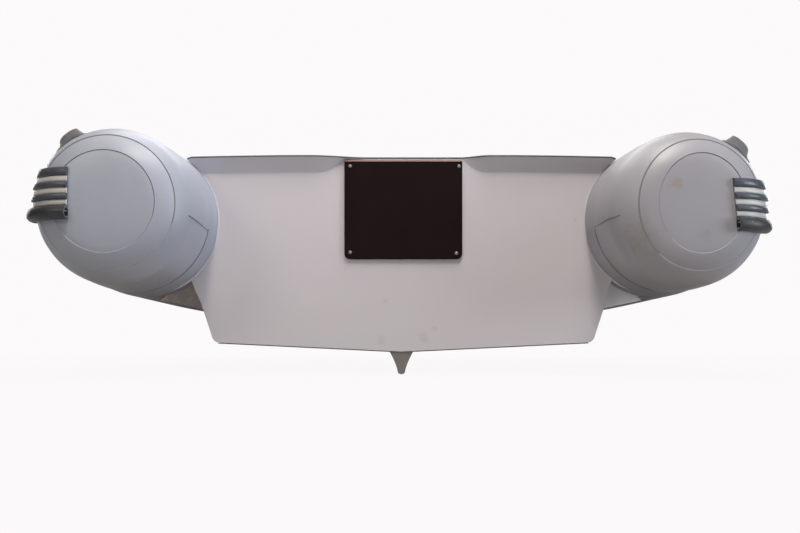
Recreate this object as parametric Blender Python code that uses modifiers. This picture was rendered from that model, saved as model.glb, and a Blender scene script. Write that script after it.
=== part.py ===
# Rigid inflatable boat: a moulded V hull with inflated side tubes that meet round the bow.
# Metres, +Z up, +Y towards the bow, +X to starboard. The origin is on the centreline in the
# plane of the transom's aft face, at the height of the waterline.

from math import asin, cos, pi, radians, sin, sqrt

import bmesh
import bpy
from mathutils import Matrix, Vector

# Side tubes
TUBE_OUT = 0.679            # tube centre from the centreline at the transom
TUBE_OUT_MAX = 0.690        # and where the bow curve begins
TUBE_HEIGHT = 0.197         # tube centre above the waterline at the stern
FLARE_START = 0.10          # where the tubes begin to spread
BOW_START = 1.52            # where the bow curve begins
BOW_LENGTH = 1.80           # from there to the tube centre at the stem
SHEER_START = 0.90
SHEER_RISE = 0.26
SHEER_POWER = 2.2
RADIUS_STERN = 0.1975
RADIUS_MID = 0.203
RADIUS_BOW = 0.185
RADIUS_GROWTH = 0.90        # length over which the tube reaches its full radius
TAPE_EDGE = 0.0765          # where the stern cone joins the tube, aft of the transom
RADIUS_TAPE = 0.191
CHAMBER_JOINT = 1.25        # where the side and bow chambers meet, in path units
TUBE_SIDES = 14             # bevel resolution of the tubes

# Stern cone: radius and distance aft of the transom, from the middle of its end forward
CONE_PROFILE = (
    (0.0, 0.2900),
    (0.060, 0.2890),
    (0.095, 0.2865),
    (0.115, 0.2830),
    (0.135, 0.2745),
    (0.1546, 0.2600),
    (0.170, 0.2425),
    (0.180, 0.2220),
    (0.1855, 0.1900),
    (RADIUS_TAPE, TAPE_EDGE),
)

# The starboard stern cone sags: its share of the sag by distance aft of the transom, and the whole sag
SAG_SHARE = ((0.0, 0.0), (TAPE_EDGE, 0.0), (0.190, 0.75), (0.222, 0.92), (0.2425, 1.0), (1.0, 1.0))
SAG_IN = 0.011
SAG_DOWN = 0.0097

# Rubbing strake: heights are measured up from the tube's middle height
STRAKE_RIBS = ((0.014, 0.028), (0.041, 0.055), (0.068, 0.088))
STRAKE_LOW = 0.001
STRAKE_HIGH = 0.088
STRAKE_SKIN = 0.004
STRAKE_RIB = 0.0095
STRAKE_SLOPE = 0.0022       # width of a rib's sloped side
STRAKE_END = 0.078          # where it ends on the stern cone's face, out from the tube centre
STRAKE_DROP = 0.012         # how far it dips as it wraps the stern cone
STRAKE_DROP_START = 0.12
STRAKE_LOWER = 0.016        # the starboard strake lies this much lower at the stern
STRAKE_LOWER_FROM = 0.60    # and comes down to it over this length of tube
STRAKE_SLANT = 0.10         # its end slants out towards its lower edge
CONE_LIFT = 0.0008          # extra room over the cone's rounded shoulder
BEAD_RADIUS = 0.0175
BEAD_MIDDLE = -0.0172
BEAD_RAISED = 0.0080
BEAD_SIDES = 14
BEAD_BORE = 0.0105
BEAD_BORE_DEPTH = 0.028

# Hull
KEEL_DEPTH = 0.146
KEEL_RISE_START = 1.30
KEEL_RISE = 0.24
CHINE_IN = 0.185            # chine inboard of the tube centre
CHINE_FLAT = 0.020
CHINE_DROP = (0.319, 0.295, 0.330)   # below the tube centre at the stern, the bow's start and the stem
SIDE_IN = 0.1635
SIDE_DROP = 0.233
FLANGE_THICK = 0.012
SEAT_ANGLES = (205.0, 260.0)         # the arc of the tube that the hull holds, from outboard over the top
SEAT_STEPS = 10
COAMING_THICK = 0.006
DECK_IN = 0.224
DECK_LEVEL = 0.030
DECK_RISE_START = 2.66
DECK_RISE = 0.205
DECK_RISE_LENGTH = 0.40
LINER_THICK = 0.005
HULL_START = 0.0453         # just ahead of the transom
RAIL_START = 0.9
RAIL_ACROSS = 0.52          # spray rail, as a share of the way from keel to chine
RAIL_WIDTH = 0.030
RAIL_DEEP = 0.013

# Skeg
SKEG_LENGTH = 1.10
SKEG_DEEP = 0.060
SKEG_DEEP_FRONT = 0.008
SKEG_TOP = 0.0630
SKEG_FOOT = 0.020

# Transom
TRANSOM_THICK = 0.045
TRANSOM_TOP = 0.3615
LIP_OUT = 0.028
LIP_DEEP = 0.043
LIP_CORNER = (0.540, 0.75)  # where the top's outer corner begins to slope down, and how steeply
LIP_FADE = (0.162, 0.232)   # the lip dies away beside the engine pad
CAP_THICK = 0.0040
PAD_WIDE = 0.309
PAD_LOW = 0.0965
PAD_HIGH = 0.3570
PAD_THICK = 0.008
PAD_MIDDLE = 0.005
PAD_CORNER = 0.009

# Fittings
HANDLE_LENGTH = 0.22
HANDLE_HIGH = 0.046
HANDLE_ANGLE = 55.0         # up from outboard
HANDLE_ANGLE_LOW = 49.0     # the starboard aft handle sits lower
HANDLE_PLACES = (-0.104, 0.95, 1.95)
THWART_FROM = 1.02
THWART_TO = 1.28
THWART_LOW = 0.3400
THWART_THICK = 0.025
THWART_HALF = 0.535
BRACKET_IN = 0.470
BRACKET_LOW = 0.250
LOCKER_AFT = 2.05
LOCKER_FRONT = 2.5615
LOCKER_HALF_AFT = 0.400
LOCKER_HALF_FRONT = 0.300
LOCKER_WALL = 0.008
LOCKER_HIGH = 0.2900
LID_THICK = 0.020
LID_OVERHANG = 0.010
HINGE_RADIUS = 0.006
HINGE_HALF = 0.150
VALVE_RADIUS = 0.034
VALVE_THICK = 0.009

GAP = 0.0003                # between touching pieces
SOFT_GAP = 0.0006           # between pieces that lie on a curved surface
STRAKE_GAP = 0.0008
FITTING_GAP = 0.0009        # under the fittings that are bent onto the tubes


# Scene and material helpers

for old in list(bpy.data.objects):
    bpy.data.objects.remove(old)

PARTS = bpy.data.collections.new("rigid_inflatable_boat")
CUTTERS = bpy.data.collections.new("cutters")
bpy.context.scene.collection.children.link(PARTS)
bpy.context.scene.collection.children.link(CUTTERS)
CUTTERS.hide_render = True


def finish(name, colour, roughness, metallic=0.0):
    material = bpy.data.materials.new(name)
    material.use_nodes = True
    shader = material.node_tree.nodes["Principled BSDF"]
    shader.inputs["Base Color"].default_value = (*colour, 1.0)
    shader.inputs["Roughness"].default_value = roughness
    shader.inputs["Metallic"].default_value = metallic
    material.diffuse_color = (*colour, 1.0)
    return material


TUBE_GREY = finish("tube_fabric", (0.38, 0.38, 0.44), 0.45)
HULL_GREY = finish("moulded_hull", (0.46, 0.42, 0.42), 0.30)
DECK_GREY = finish("moulded_deck", (0.52, 0.51, 0.50), 0.50)
DARK_RUBBER = finish("dark_rubber", (0.055, 0.060, 0.080), 0.55)
STRAKE_RUBBER = finish("strake_rubber", (0.070, 0.075, 0.100), 0.50)
GREY_RUBBER = finish("grey_rubber", (0.15, 0.15, 0.16), 0.60)
PAD_BLACK = finish("engine_pad", (0.013, 0.009, 0.010), 0.40)
STEEL = finish("stainless_steel", (0.60, 0.60, 0.62), 0.25, 1.0)


def add_object(name, data, material, collection=PARTS):
    piece = bpy.data.objects.new(name, data)
    data.materials.append(material)
    collection.objects.link(piece)
    return piece


def as_cutter(piece):
    piece.hide_render = True
    piece.display_type = "WIRE"
    return piece


def facing_out(body):
    if body.calc_volume(signed=True) < 0:
        bmesh.ops.reverse_faces(body, faces=body.faces)


def mesh_from(name, body, smooth_angle=35.0):
    facing_out(body)
    mesh = bpy.data.meshes.new(name)
    body.to_mesh(mesh)
    body.free()
    mesh.shade_smooth()
    mesh.set_sharp_from_angle(angle=radians(smooth_angle))
    return mesh


def boolean(piece, cutter, operation):
    modifier = piece.modifiers.new(operation.lower(), "BOOLEAN")
    modifier.object = cutter
    modifier.operation = operation
    modifier.solver = "EXACT"


def bevel(piece, width, segments=2, angle=40.0):
    modifier = piece.modifiers.new("bevel", "BEVEL")
    modifier.width = width
    modifier.segments = segments
    modifier.limit_method = "ANGLE"
    modifier.angle_limit = radians(angle)


def loft(name, rings, material, collection=PARTS, half=False, turned=()):
    """A skin over rings of points, its quads all split the same way, so that skins that lie on each other match.
    The quads that start at the ring's points listed in turned are split the other way. A half loft is open on
    the centreline, where a Mirror closes it, and has no face in that plane."""
    body = bmesh.new()
    rows = [[body.verts.new(point) for point in ring] for ring in rings]
    count = len(rows[0])
    for row, after in zip(rows, rows[1:]):
        for i in range(count - 1 if half else count):
            j = (i + 1) % count
            halves = ((row[i], row[j], after[j]), (row[i], after[j], after[i]))
            if i in turned:
                halves = ((row[i], row[j], after[i]), (row[j], after[j], after[i]))
            for corners in halves:
                if not half or any(abs(corner.co.x) > GAP for corner in corners):
                    body.faces.new(corners)
    body.faces.new(reversed(rows[0]))
    if not half:
        body.faces.new(rows[-1])
    loose = [vert for vert in body.verts if not vert.link_faces]
    bmesh.ops.delete(body, geom=loose, context="VERTS")
    piece = add_object(name, mesh_from(name, body), material, collection)
    if half:
        mirror = piece.modifiers.new("mirror", "MIRROR")
        mirror.use_axis = (True, False, False)
        mirror.merge_threshold = 0.0001
    return piece


def flat_outline(name, loops, thickness, material, collection=PARTS):
    """A plate from 2D outlines, made a mesh whose caps are welded. It lies in local XY."""
    curve = bpy.data.curves.new(name, "CURVE")
    curve.dimensions = "2D"
    curve.fill_mode = "BOTH"
    curve.extrude = thickness / 2
    for loop in loops:
        spline = curve.splines.new("POLY")
        spline.points.add(len(loop) - 1)
        for point, (x, y) in zip(spline.points, loop):
            point.co = (x, y, 0.0, 1.0)
        spline.use_cyclic_u = True
    return welded_mesh(add_object(name, curve, material, collection), collection)


def welded_mesh(piece, collection=PARTS):
    """A curve made a mesh, so that it can be cut, joined or bent."""
    name = piece.name
    material = piece.data.materials[0]
    bpy.context.view_layer.update()
    graph = bpy.context.evaluated_depsgraph_get()
    mesh = bpy.data.meshes.new_from_object(piece.evaluated_get(graph))
    body = bmesh.new()
    body.from_mesh(mesh)
    bmesh.ops.remove_doubles(body, verts=body.verts, dist=0.00001)
    body.to_mesh(mesh)
    body.free()
    place = piece.matrix_world.copy()
    bpy.data.objects.remove(piece)
    mesh.materials.clear()
    solid = add_object(name, mesh, material, collection)
    solid.matrix_world = place
    return solid


def round_corner(corner, before, after, radius, steps=4):
    """Points of an arc that rounds a corner of an outline."""
    corner = Vector(corner)
    to_before = (Vector(before) - corner).normalized()
    to_after = (Vector(after) - corner).normalized()
    half = to_before.angle(to_after) / 2
    reach = radius * cos(half) / sin(half)
    middle = corner + (to_before + to_after).normalized() * radius / sin(half)
    start = corner + to_before * reach - middle
    turn = (corner + to_after * reach - middle).angle_signed(start)
    points = []
    for i in range(steps + 1):
        arm = start.copy()
        arm.rotate(Matrix.Rotation(turn * i / steps, 2))
        points.append(tuple(middle + arm))
    return points


def rounded(corners, radius, steps=4):
    points = []
    for i, corner in enumerate(corners):
        points += round_corner(corner, corners[i - 1], corners[(i + 1) % len(corners)], radius, steps)
    return points


def block(name, low, high, material, collection=PARTS):
    body = bmesh.new()
    bmesh.ops.create_cube(body, size=1.0)
    size = Vector(high) - Vector(low)
    bmesh.ops.scale(body, vec=size, verts=body.verts)
    bmesh.ops.translate(body, vec=(Vector(high) + Vector(low)) / 2, verts=body.verts)
    return add_object(name, mesh_from(name, body), material, collection)


def rod(name, start, end, radius, material, collection=PARTS, sides=32):
    body = bmesh.new()
    along = Vector(end) - Vector(start)
    turn = Vector((0, 0, 1)).rotation_difference(along).to_matrix().to_4x4()
    place = Matrix.Translation((Vector(start) + Vector(end)) / 2) @ turn
    bmesh.ops.create_cone(body, cap_ends=True, segments=sides, radius1=radius, radius2=radius,
                          depth=along.length, matrix=place)
    return add_object(name, mesh_from(name, body), material, collection)


# The path of the tubes: 0 at the transom to starboard, 1 where the bow curve begins, 2 at the stem,
# and on down the port side to 4

STRAIGHT_STATIONS = (0.2, 0.4, 0.6, 0.8)
BOW_STEPS = 14


def smooth(share):
    share = min(max(share, 0.0), 1.0)
    return share * share * (3 - 2 * share)


def between(value, points):
    """Straight-line reading of a list of (value, result) pairs in rising order of value."""
    for (low, a), (high, b) in zip(points, points[1:]):
        if value <= high:
            return a + (b - a) * (value - low) / (high - low)
    return points[-1][1]


def tube_height(y):
    share = max(y - SHEER_START, 0.0) / (BOW_START + BOW_LENGTH - SHEER_START)
    return TUBE_HEIGHT + SHEER_RISE * share ** SHEER_POWER


def tube_radius(y):
    if y < -TAPE_EDGE:
        return between(-y, [(aft, radius) for radius, aft in reversed(CONE_PROFILE)])
    if y < 0:
        return RADIUS_STERN + (RADIUS_TAPE - RADIUS_STERN) * -y / TAPE_EDGE
    bow = smooth((y - BOW_START) / BOW_LENGTH)
    return RADIUS_STERN + (RADIUS_MID - RADIUS_STERN) * smooth(y / RADIUS_GROWTH) + (RADIUS_BOW - RADIUS_MID) * bow


def tube_centre(u):
    side = 1
    if u > 2:
        u = 4 - u
        side = -1
    if u <= 1:
        y = u * BOW_START
        spread = smooth((y - FLARE_START) / (BOW_START - FLARE_START))
        x = TUBE_OUT + (TUBE_OUT_MAX - TUBE_OUT) * spread
    else:
        angle = (u - 1) * pi / 2
        x = TUBE_OUT_MAX * cos(angle)
        y = BOW_START + BOW_LENGTH * sin(angle)
    return Vector((side * x, y, tube_height(y)))


def tube_frame(u):
    """Centre, direction along the path, outboard and up at one place on the tubes."""
    step = 0.002
    along = (tube_centre(u + step) - tube_centre(u - step)).normalized()
    outboard = along.cross(Vector((0, 0, 1))).normalized()
    return tube_centre(u), along, outboard, outboard.cross(along)


def tube_point(u, angle, raised=0.0):
    """A point on the tubes' surface. The angle goes from outboard over the top to inboard."""
    centre, _, outboard, up = tube_frame(u)
    radius = tube_radius(centre.y) + raised
    return centre + outboard * (radius * cos(angle)) + up * (radius * sin(angle))


def stations(start, end):
    """Path values from start to end, with the stations that every long piece shares."""
    shared = list(STRAIGHT_STATIONS) + [1 + i / BOW_STEPS for i in range(BOW_STEPS + 1)]
    shared = sorted(set(shared + [4 - u for u in shared]))
    return [start] + [u for u in shared if start + 0.01 < u < end - 0.01] + [end]


def path_value(y):
    """The path value on the starboard side at a distance forward of the transom."""
    if y <= BOW_START:
        return y / BOW_START
    return 1 + asin((y - BOW_START) / BOW_LENGTH) * 2 / pi


# Inflated tubes

END_STEP = 0.004            # a short first and last run keeps the end faces square to the path


def chamber(name, start, end):
    curve = bpy.data.curves.new(name, "CURVE")
    curve.dimensions = "3D"
    curve.bevel_depth = 1.0
    curve.bevel_resolution = TUBE_SIDES
    curve.use_fill_caps = True
    path = stations(start, end)
    points = [(tube_centre(u), tube_radius(tube_centre(u).y)) for u in path]
    first, last = points[0], points[-1]
    points.insert(1, (first[0] + tube_frame(start)[1] * END_STEP, first[1]))
    points.insert(-1, (last[0] - tube_frame(end)[1] * END_STEP, last[1]))
    spline = curve.splines.new("POLY")
    spline.points.add(len(points) - 1)
    for point, (centre, radius) in zip(spline.points, points):
        point.co = (*centre, 1.0)
        point.radius = radius
    spline.use_smooth = True
    return add_object(name, curve, TUBE_GREY)


def chambers():
    aft = -TAPE_EDGE / BOW_START
    half_gap = GAP / 2 / BOW_LENGTH
    chamber("tube_starboard", aft, CHAMBER_JOINT - half_gap)
    chamber("tube_bow", CHAMBER_JOINT + half_gap, 4 - CHAMBER_JOINT - half_gap)
    chamber("tube_port", 4 - CHAMBER_JOINT + half_gap, 4 - aft)


def stern_cone(name, side):
    """A turned end for a tube: its profile runs from the middle of the end face to the joint and in."""
    profile = list(CONE_PROFILE)
    profile[-1] = (RADIUS_TAPE, TAPE_EDGE + GAP)
    profile.append((0.0, TAPE_EDGE + GAP))
    body = bmesh.new()
    verts = [body.verts.new((radius, 0.0, aft)) for radius, aft in profile]
    for a, b in zip(verts, verts[1:]):
        body.edges.new((a, b))
    mesh = bpy.data.meshes.new(name)
    body.to_mesh(mesh)
    body.free()
    cone = add_object(name, mesh, TUBE_GREY)
    cone.location = (side * TUBE_OUT, 0.0, TUBE_HEIGHT)
    cone.rotation_euler = (radians(90), 0, 0)
    screw = cone.modifiers.new("turn", "SCREW")
    screw.steps = screw.render_steps = 40
    screw.use_merge_vertices = True
    screw.merge_threshold = 0.00005
    screw.use_smooth_shade = True
    return cone


def sag(piece):
    """Lowers what is on the starboard stern cone, which points lower and further inboard than the port one."""
    bpy.context.view_layer.update()
    place = piece.matrix_world
    back = place.inverted()
    for vert in piece.data.vertices:
        point = place @ vert.co
        vert.co = back @ (point - Vector((SAG_IN, 0, SAG_DOWN)) * between(-point.y, SAG_SHARE))


# Rubbing strake and bead

def cone_normals():
    """The outward direction at each ring of the stern cone: its radial and its aft share."""
    normals = []
    for i, (radius, aft) in enumerate(CONE_PROFILE):
        r0, a0 = CONE_PROFILE[max(i - 1, 0)]
        r1, a1 = CONE_PROFILE[min(i + 1, len(CONE_PROFILE) - 1)]
        slope = Vector((a0 - a1, r1 - r0)).normalized()
        normals.append((slope.x, slope.y))
    return normals


def strake_ring(section, centre, outboard, up, aft, radius, normal, drop, face_x=None, lift=0.0, slant=0.0):
    """One ring of a strake section of (height, raised) points, on a ring of the tube or on its end."""
    ring = []
    for height, raised in section:
        height -= drop
        if face_x is None:
            across = sqrt(radius ** 2 - height ** 2)
            foot = centre + outboard * across + up * height
            out = (outboard * across + up * height) / radius * normal[0] + aft * normal[1]
        else:
            across = face_x - slant * (height - STRAKE_HIGH + drop)
            reach = between(sqrt(across ** 2 + height ** 2), CONE_PROFILE)
            foot = centre + outboard * across + up * height + aft * reach
            out = aft
        ring.append(foot + out * (raised + lift))
    return ring


def strake_lowered(y):
    return STRAKE_LOWER * smooth((STRAKE_LOWER_FROM - y) / STRAKE_LOWER_FROM)


def stern_strake_rings(section, lowered):
    """Rings from the end on the starboard stern cone's face forward to the tape edge."""
    centre = Vector((TUBE_OUT, 0.0, TUBE_HEIGHT))
    outboard = Vector((1, 0, 0))
    up = Vector((0, 0, 1))
    aft = Vector((0, -1, 0))
    first_ring = 3
    lower = STRAKE_LOWER if lowered else 0.0
    slant = STRAKE_SLANT if lowered else 0.0
    rings = [strake_ring(section, centre, outboard, up, aft, 0.0, None, STRAKE_DROP + lower, STRAKE_END, CONE_LIFT,
                         slant)]
    for (radius, back), normal in list(zip(CONE_PROFILE, cone_normals()))[first_ring:]:
        share = smooth((back - STRAKE_DROP_START) / (CONE_PROFILE[first_ring][1] - STRAKE_DROP_START))
        rings.append(strake_ring(section, centre + aft * back, outboard, up, aft, radius, normal,
                                 lower + STRAKE_DROP * share, lift=CONE_LIFT * min(share * 2, 1)))
    return rings


def side_strake_rings(section, path, lowered=False):
    rings = []
    for u in path:
        centre, along, outboard, up = tube_frame(u)
        drop = strake_lowered(centre.y) if lowered else 0.0
        rings.append(strake_ring(section, centre, outboard, up, -along, tube_radius(centre.y), (1, 0), drop))
    return rings


def strake_section():
    """The band's outline: its flat side on the tube, then its ribs from the bottom up."""
    under_steps = 8
    step = (STRAKE_HIGH - STRAKE_LOW) / under_steps
    under = [(STRAKE_HIGH - i * step, STRAKE_GAP) for i in range(under_steps + 1)]
    face = [(STRAKE_LOW, STRAKE_SKIN)]
    for low, high in STRAKE_RIBS:
        face.append((low, STRAKE_SKIN))
        face.append((low + STRAKE_SLOPE, STRAKE_RIB))
        face.append((high - STRAKE_SLOPE, STRAKE_RIB))
        if high < STRAKE_HIGH:
            face.append((high, STRAKE_SKIN))
    face.append((STRAKE_HIGH, STRAKE_SKIN))
    return under + face


def bead_section():
    section = []
    for i in range(BEAD_SIDES):
        angle = 2 * pi * (i + 0.5) / BEAD_SIDES
        raised = BEAD_RAISED + BEAD_RADIUS * cos(angle)
        section.append((BEAD_MIDDLE + BEAD_RADIUS * sin(angle), max(raised, STRAKE_GAP)))
    return section


def along_the_tubes(name, section, material):
    """Three runs of one section: starboard, round the bow, and port."""
    half_gap = GAP / 2 / BOW_LENGTH
    join = stations(0.0, CHAMBER_JOINT - half_gap)
    starboard = stern_strake_rings(section, True) + side_strake_rings(section, join, True)
    bow = side_strake_rings(section, stations(CHAMBER_JOINT + half_gap, 4 - CHAMBER_JOINT - half_gap))
    port = [[Vector((-p.x, p.y, p.z)) for p in ring]
            for ring in stern_strake_rings(section, False) + side_strake_rings(section, join)]
    starboard_run = loft(name + "_starboard", starboard, material)
    sag(starboard_run)
    return starboard_run, loft(name + "_bow", bow, material), loft(name + "_port", port, material)


def bead_bore(bead, side):
    """The open end of the hollow bead, seen on the stern cone."""
    z = TUBE_HEIGHT + BEAD_MIDDLE - STRAKE_DROP - (STRAKE_LOWER if side > 0 else 0.0)
    y = -(CONE_PROFILE[3][1] + BEAD_RAISED + 0.003)
    start = (side * (TUBE_OUT + STRAKE_END - 0.01), y, z)
    end = (side * (TUBE_OUT + STRAKE_END + BEAD_BORE_DEPTH), y, z)
    cutter = as_cutter(rod(bead.name + "_bore", start, end, BEAD_BORE, DARK_RUBBER, CUTTERS, 16))
    if side > 0:
        sag(cutter)
    boolean(bead, cutter, "DIFFERENCE")


def strakes():
    along_the_tubes("rub_strake", strake_section(), STRAKE_RUBBER)
    starboard, _, port = along_the_tubes("strake_bead", bead_section(), DARK_RUBBER)
    bead_bore(starboard, 1)
    bead_bore(port, -1)


# Hull, in ribs that stand square to the tube and end on the centreline

def rib_middle(u):
    """Where the rib through a place on the tube meets the centreline."""
    if u <= 1:
        return u * BOW_START
    share = 1 - (TUBE_OUT_MAX / BOW_LENGTH) ** 2
    return BOW_START + BOW_LENGTH * share * sin((u - 1) * pi / 2)


def keel_height(y):
    span = rib_middle(2) - KEEL_RISE_START
    return -KEEL_DEPTH + KEEL_RISE * (max(y - KEEL_RISE_START, 0.0) / span) ** 4


def deck_height(y):
    return DECK_LEVEL + DECK_RISE * (max(y - DECK_RISE_START, 0.0) / DECK_RISE_LENGTH) ** 1.5


def inboard_point(u, inboard, z):
    """A point level with the waterline frame, a distance inboard of the tube centre."""
    centre, _, outboard, _ = tube_frame(u)
    return Vector((centre.x - outboard.x * inboard, centre.y - outboard.y * inboard, z))


def chine_point(u, inboard):
    drop = between(u, [(0, CHINE_DROP[0]), (1, CHINE_DROP[1]), (2, CHINE_DROP[2])])
    return inboard_point(u, inboard, tube_centre(u).z - drop)


def hull_rib(u):
    centre, _, outboard, up = tube_frame(u)
    middle = rib_middle(u)
    low, high = (radians(angle) for angle in reversed(SEAT_ANGLES))
    seat = [tube_point(u, low + (high - low) * i / SEAT_STEPS, SOFT_GAP) for i in range(SEAT_STEPS + 1)]
    flange = seat[0] - up * FLANGE_THICK
    coaming = seat[-1] - outboard * COAMING_THICK
    deck_edge = inboard_point(u, DECK_IN, 0.0)
    deck_edge.z = deck_height(deck_edge.y)
    return [
        Vector((0, middle, keel_height(middle))),
        chine_point(u, CHINE_IN),
        chine_point(u, CHINE_IN - CHINE_FLAT),
        centre - outboard * SIDE_IN - up * SIDE_DROP,
        flange,
        *seat,
        coaming,
        deck_edge,
        Vector((0, middle, deck_height(middle))),
    ]


def hull_stations():
    return stations(HULL_START / BOW_START, 2.0)


def on_centreline(ring):
    return [Vector((0, point.y, point.z)) for point in ring]


def hull_bottom():
    rings = [hull_rib(u) for u in hull_stations()]
    rings[-1] = on_centreline(rings[-1])
    loft("hull_bottom", rings, HULL_GREY, half=True)


def liner_rib(u):
    rib = hull_rib(u)
    coaming, edge, middle = rib[-3:]
    _, _, outboard, _ = tube_frame(u)
    skin = -outboard * LINER_THICK
    off = -outboard * GAP * 2
    up = Vector((0, 0, 1))
    gap = up * GAP * 2
    return [
        middle + gap + up * LINER_THICK,
        edge + off + skin + gap + up * LINER_THICK,
        coaming + off + skin,
        coaming + off,
        edge + off + gap,
        middle + gap,
    ]


def deck_liner():
    rings = [liner_rib(u) for u in hull_stations()]
    rings[-1] = on_centreline(rings[-1])
    loft("deck_liner", rings, DECK_GREY, half=True, turned=(0, 1))


def bottom_point(u, share, below):
    """A point on the hull's bottom panel, a share of the way from keel to chine."""
    middle = rib_middle(u)
    keel = Vector((0, middle, keel_height(middle)))
    return keel.lerp(chine_point(u, CHINE_IN), share) - Vector((0, 0, below))


def spray_rail(name, side):
    path = stations(RAIL_START / BOW_START, 1.75)
    rings = []
    for i, u in enumerate(path):
        ends = min(i, len(path) - 1 - i) > 0
        deep = RAIL_DEEP if ends else 0.002
        width = (bottom_point(u, 1.0, 0) - bottom_point(u, 0.0, 0)).length
        inner = RAIL_ACROSS - RAIL_WIDTH / width / 2
        outer = RAIL_ACROSS + RAIL_WIDTH / width / 2
        ring = [bottom_point(u, inner, SOFT_GAP), bottom_point(u, outer, deep), bottom_point(u, outer, SOFT_GAP)]
        rings.append([Vector((side * p.x, p.y, p.z)) for p in ring])
    loft(name, rings, HULL_GREY)


def keel_skeg():
    """The fin under the keel, deepest at the transom."""
    rings = []
    lengthwise = 8
    across = 6
    for i in range(lengthwise + 1):
        share = i / lengthwise
        y = 0.002 + SKEG_LENGTH * share
        deep = SKEG_DEEP + (SKEG_DEEP_FRONT - SKEG_DEEP) * smooth(share)
        half_top = SKEG_TOP / 2 * (1 - 0.5 * share)
        half_foot = SKEG_FOOT / 2 * (1 - 0.3 * share)
        keel = keel_height(y)
        slope = (chine_point(y / BOW_START, CHINE_IN).z - keel) / chine_point(y / BOW_START, CHINE_IN).x
        side_top = keel - SOFT_GAP + slope * half_top
        foot = []
        for j in range(across + 1):
            angle = pi * j / across
            foot.append(Vector((half_foot * cos(angle), y, keel - deep + half_foot * 0.9 * (1 - sin(angle)))))
        rings.append([Vector((0, y, keel - SOFT_GAP)), Vector((half_top, y, side_top)), *foot,
                      Vector((-half_top, y, side_top))])
    loft("keel_skeg", rings, HULL_GREY)


# Transom

def tube_cutters():
    cutters = []
    for side in (1, -1):
        start = (side * TUBE_OUT, -0.2, TUBE_HEIGHT)
        end = (side * TUBE_OUT, 0.3, TUBE_HEIGHT)
        name = "tube_cutter_starboard" if side > 0 else "tube_cutter_port"
        cutters.append(as_cutter(rod(name, start, end, RADIUS_STERN + SOFT_GAP, TUBE_GREY, CUTTERS, 96)))
    return cutters


def top_edge(x):
    """The height of the transom's top edge, which slopes down to the tubes at its outer corners."""
    return TRANSOM_TOP - max(abs(x) - LIP_CORNER[0], 0.0) * LIP_CORNER[1]


def lip_share(x):
    return smooth((abs(x) - LIP_FADE[0]) / (LIP_FADE[1] - LIP_FADE[0]))


def transom_outline():
    chine_x = TUBE_OUT - CHINE_IN
    chine_z = TUBE_HEIGHT - CHINE_DROP[0]
    side = (0.5375, 0.025)
    half = [(0.0, -KEEL_DEPTH)]
    half += round_corner((chine_x + 0.002, chine_z), half[0], side, 0.016)
    half += [side, (0.560, 0.070), (0.600, 0.200), (0.600, top_edge(0.600)), (LIP_CORNER[0], TRANSOM_TOP)]
    return half + [(-x, z) for x, z in reversed(half[1:])]


def upright(piece, y):
    """Turns a plate drawn in local XY so that it stands across the boat, its middle at y."""
    piece.rotation_euler = (radians(90), 0, 0)
    piece.location.y = y


def lip(name, side):
    """The flared edge of the transom's top on one side of the engine pad: a sharp break, then a slight hollow."""
    rings = []
    steps = 10
    hollow_steps = 4
    inner, outer = LIP_FADE[0] + 0.004, 0.600
    places = [inner + (LIP_FADE[1] - inner) * i / steps for i in range(steps + 1)] + [LIP_CORNER[0], outer]
    for x in places:
        share = max(lip_share(x), 0.03)
        deep = LIP_DEEP * share
        out = LIP_OUT * share
        top = top_edge(x)
        under = []
        for i in range(hollow_steps + 1):
            up = i / hollow_steps
            under.append((side * x, -out * up * (0.85 + 0.15 * up), top - deep * (1 - up)))
        rings.append([(side * x, 0.010, top - deep), *under, (side * x, 0.010, top)])
    return as_cutter(loft(name, rings, HULL_GREY, CUTTERS))


def transom(cutters):
    plate = flat_outline("transom", [transom_outline()], TRANSOM_THICK, HULL_GREY)
    upright(plate, TRANSOM_THICK / 2)
    boolean(plate, lip("lip_starboard", 1), "UNION")
    boolean(plate, lip("lip_port", -1), "UNION")
    for cutter in cutters:
        boolean(plate, cutter, "DIFFERENCE")


def transom_cap(cutters):
    """The dark strip over the transom's top edge and lip."""
    steps = 8
    fade = [LIP_FADE[0] + (LIP_FADE[1] - LIP_FADE[0]) * i / steps for i in range(steps + 1)]
    half = fade + [LIP_CORNER[0], 0.600]
    places = [-x for x in reversed(half)] + half
    rings = []
    for x in places:
        aft = -LIP_OUT * lip_share(x) - 0.001
        front = TRANSOM_THICK + 0.001
        low = top_edge(x) + GAP
        high = low + CAP_THICK
        rings.append([(x, aft, low), (x, front, low), (x, front, high), (x, aft, high)])
    cap = loft("transom_cap", rings, DARK_RUBBER)
    for cutter in cutters:
        boolean(cap, cutter, "DIFFERENCE")


def engine_pads():
    half = PAD_WIDE / 2
    corners = [(PAD_MIDDLE - half, PAD_LOW), (PAD_MIDDLE + half, PAD_LOW),
               (PAD_MIDDLE + half, PAD_HIGH), (PAD_MIDDLE - half, PAD_HIGH)]
    outer = flat_outline("engine_pad_outer", [rounded(corners, PAD_CORNER)], PAD_THICK, PAD_BLACK)
    upright(outer, -GAP - PAD_THICK / 2)
    bevel(outer, 0.0015)
    inner = flat_outline("engine_pad_inner", [rounded(corners, PAD_CORNER)], PAD_THICK, PAD_BLACK)
    upright(inner, TRANSOM_THICK + GAP + PAD_THICK / 2)
    bevel(inner, 0.0015)


# Fittings that lie on the tubes: drawn flat, then bent onto the surface

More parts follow.
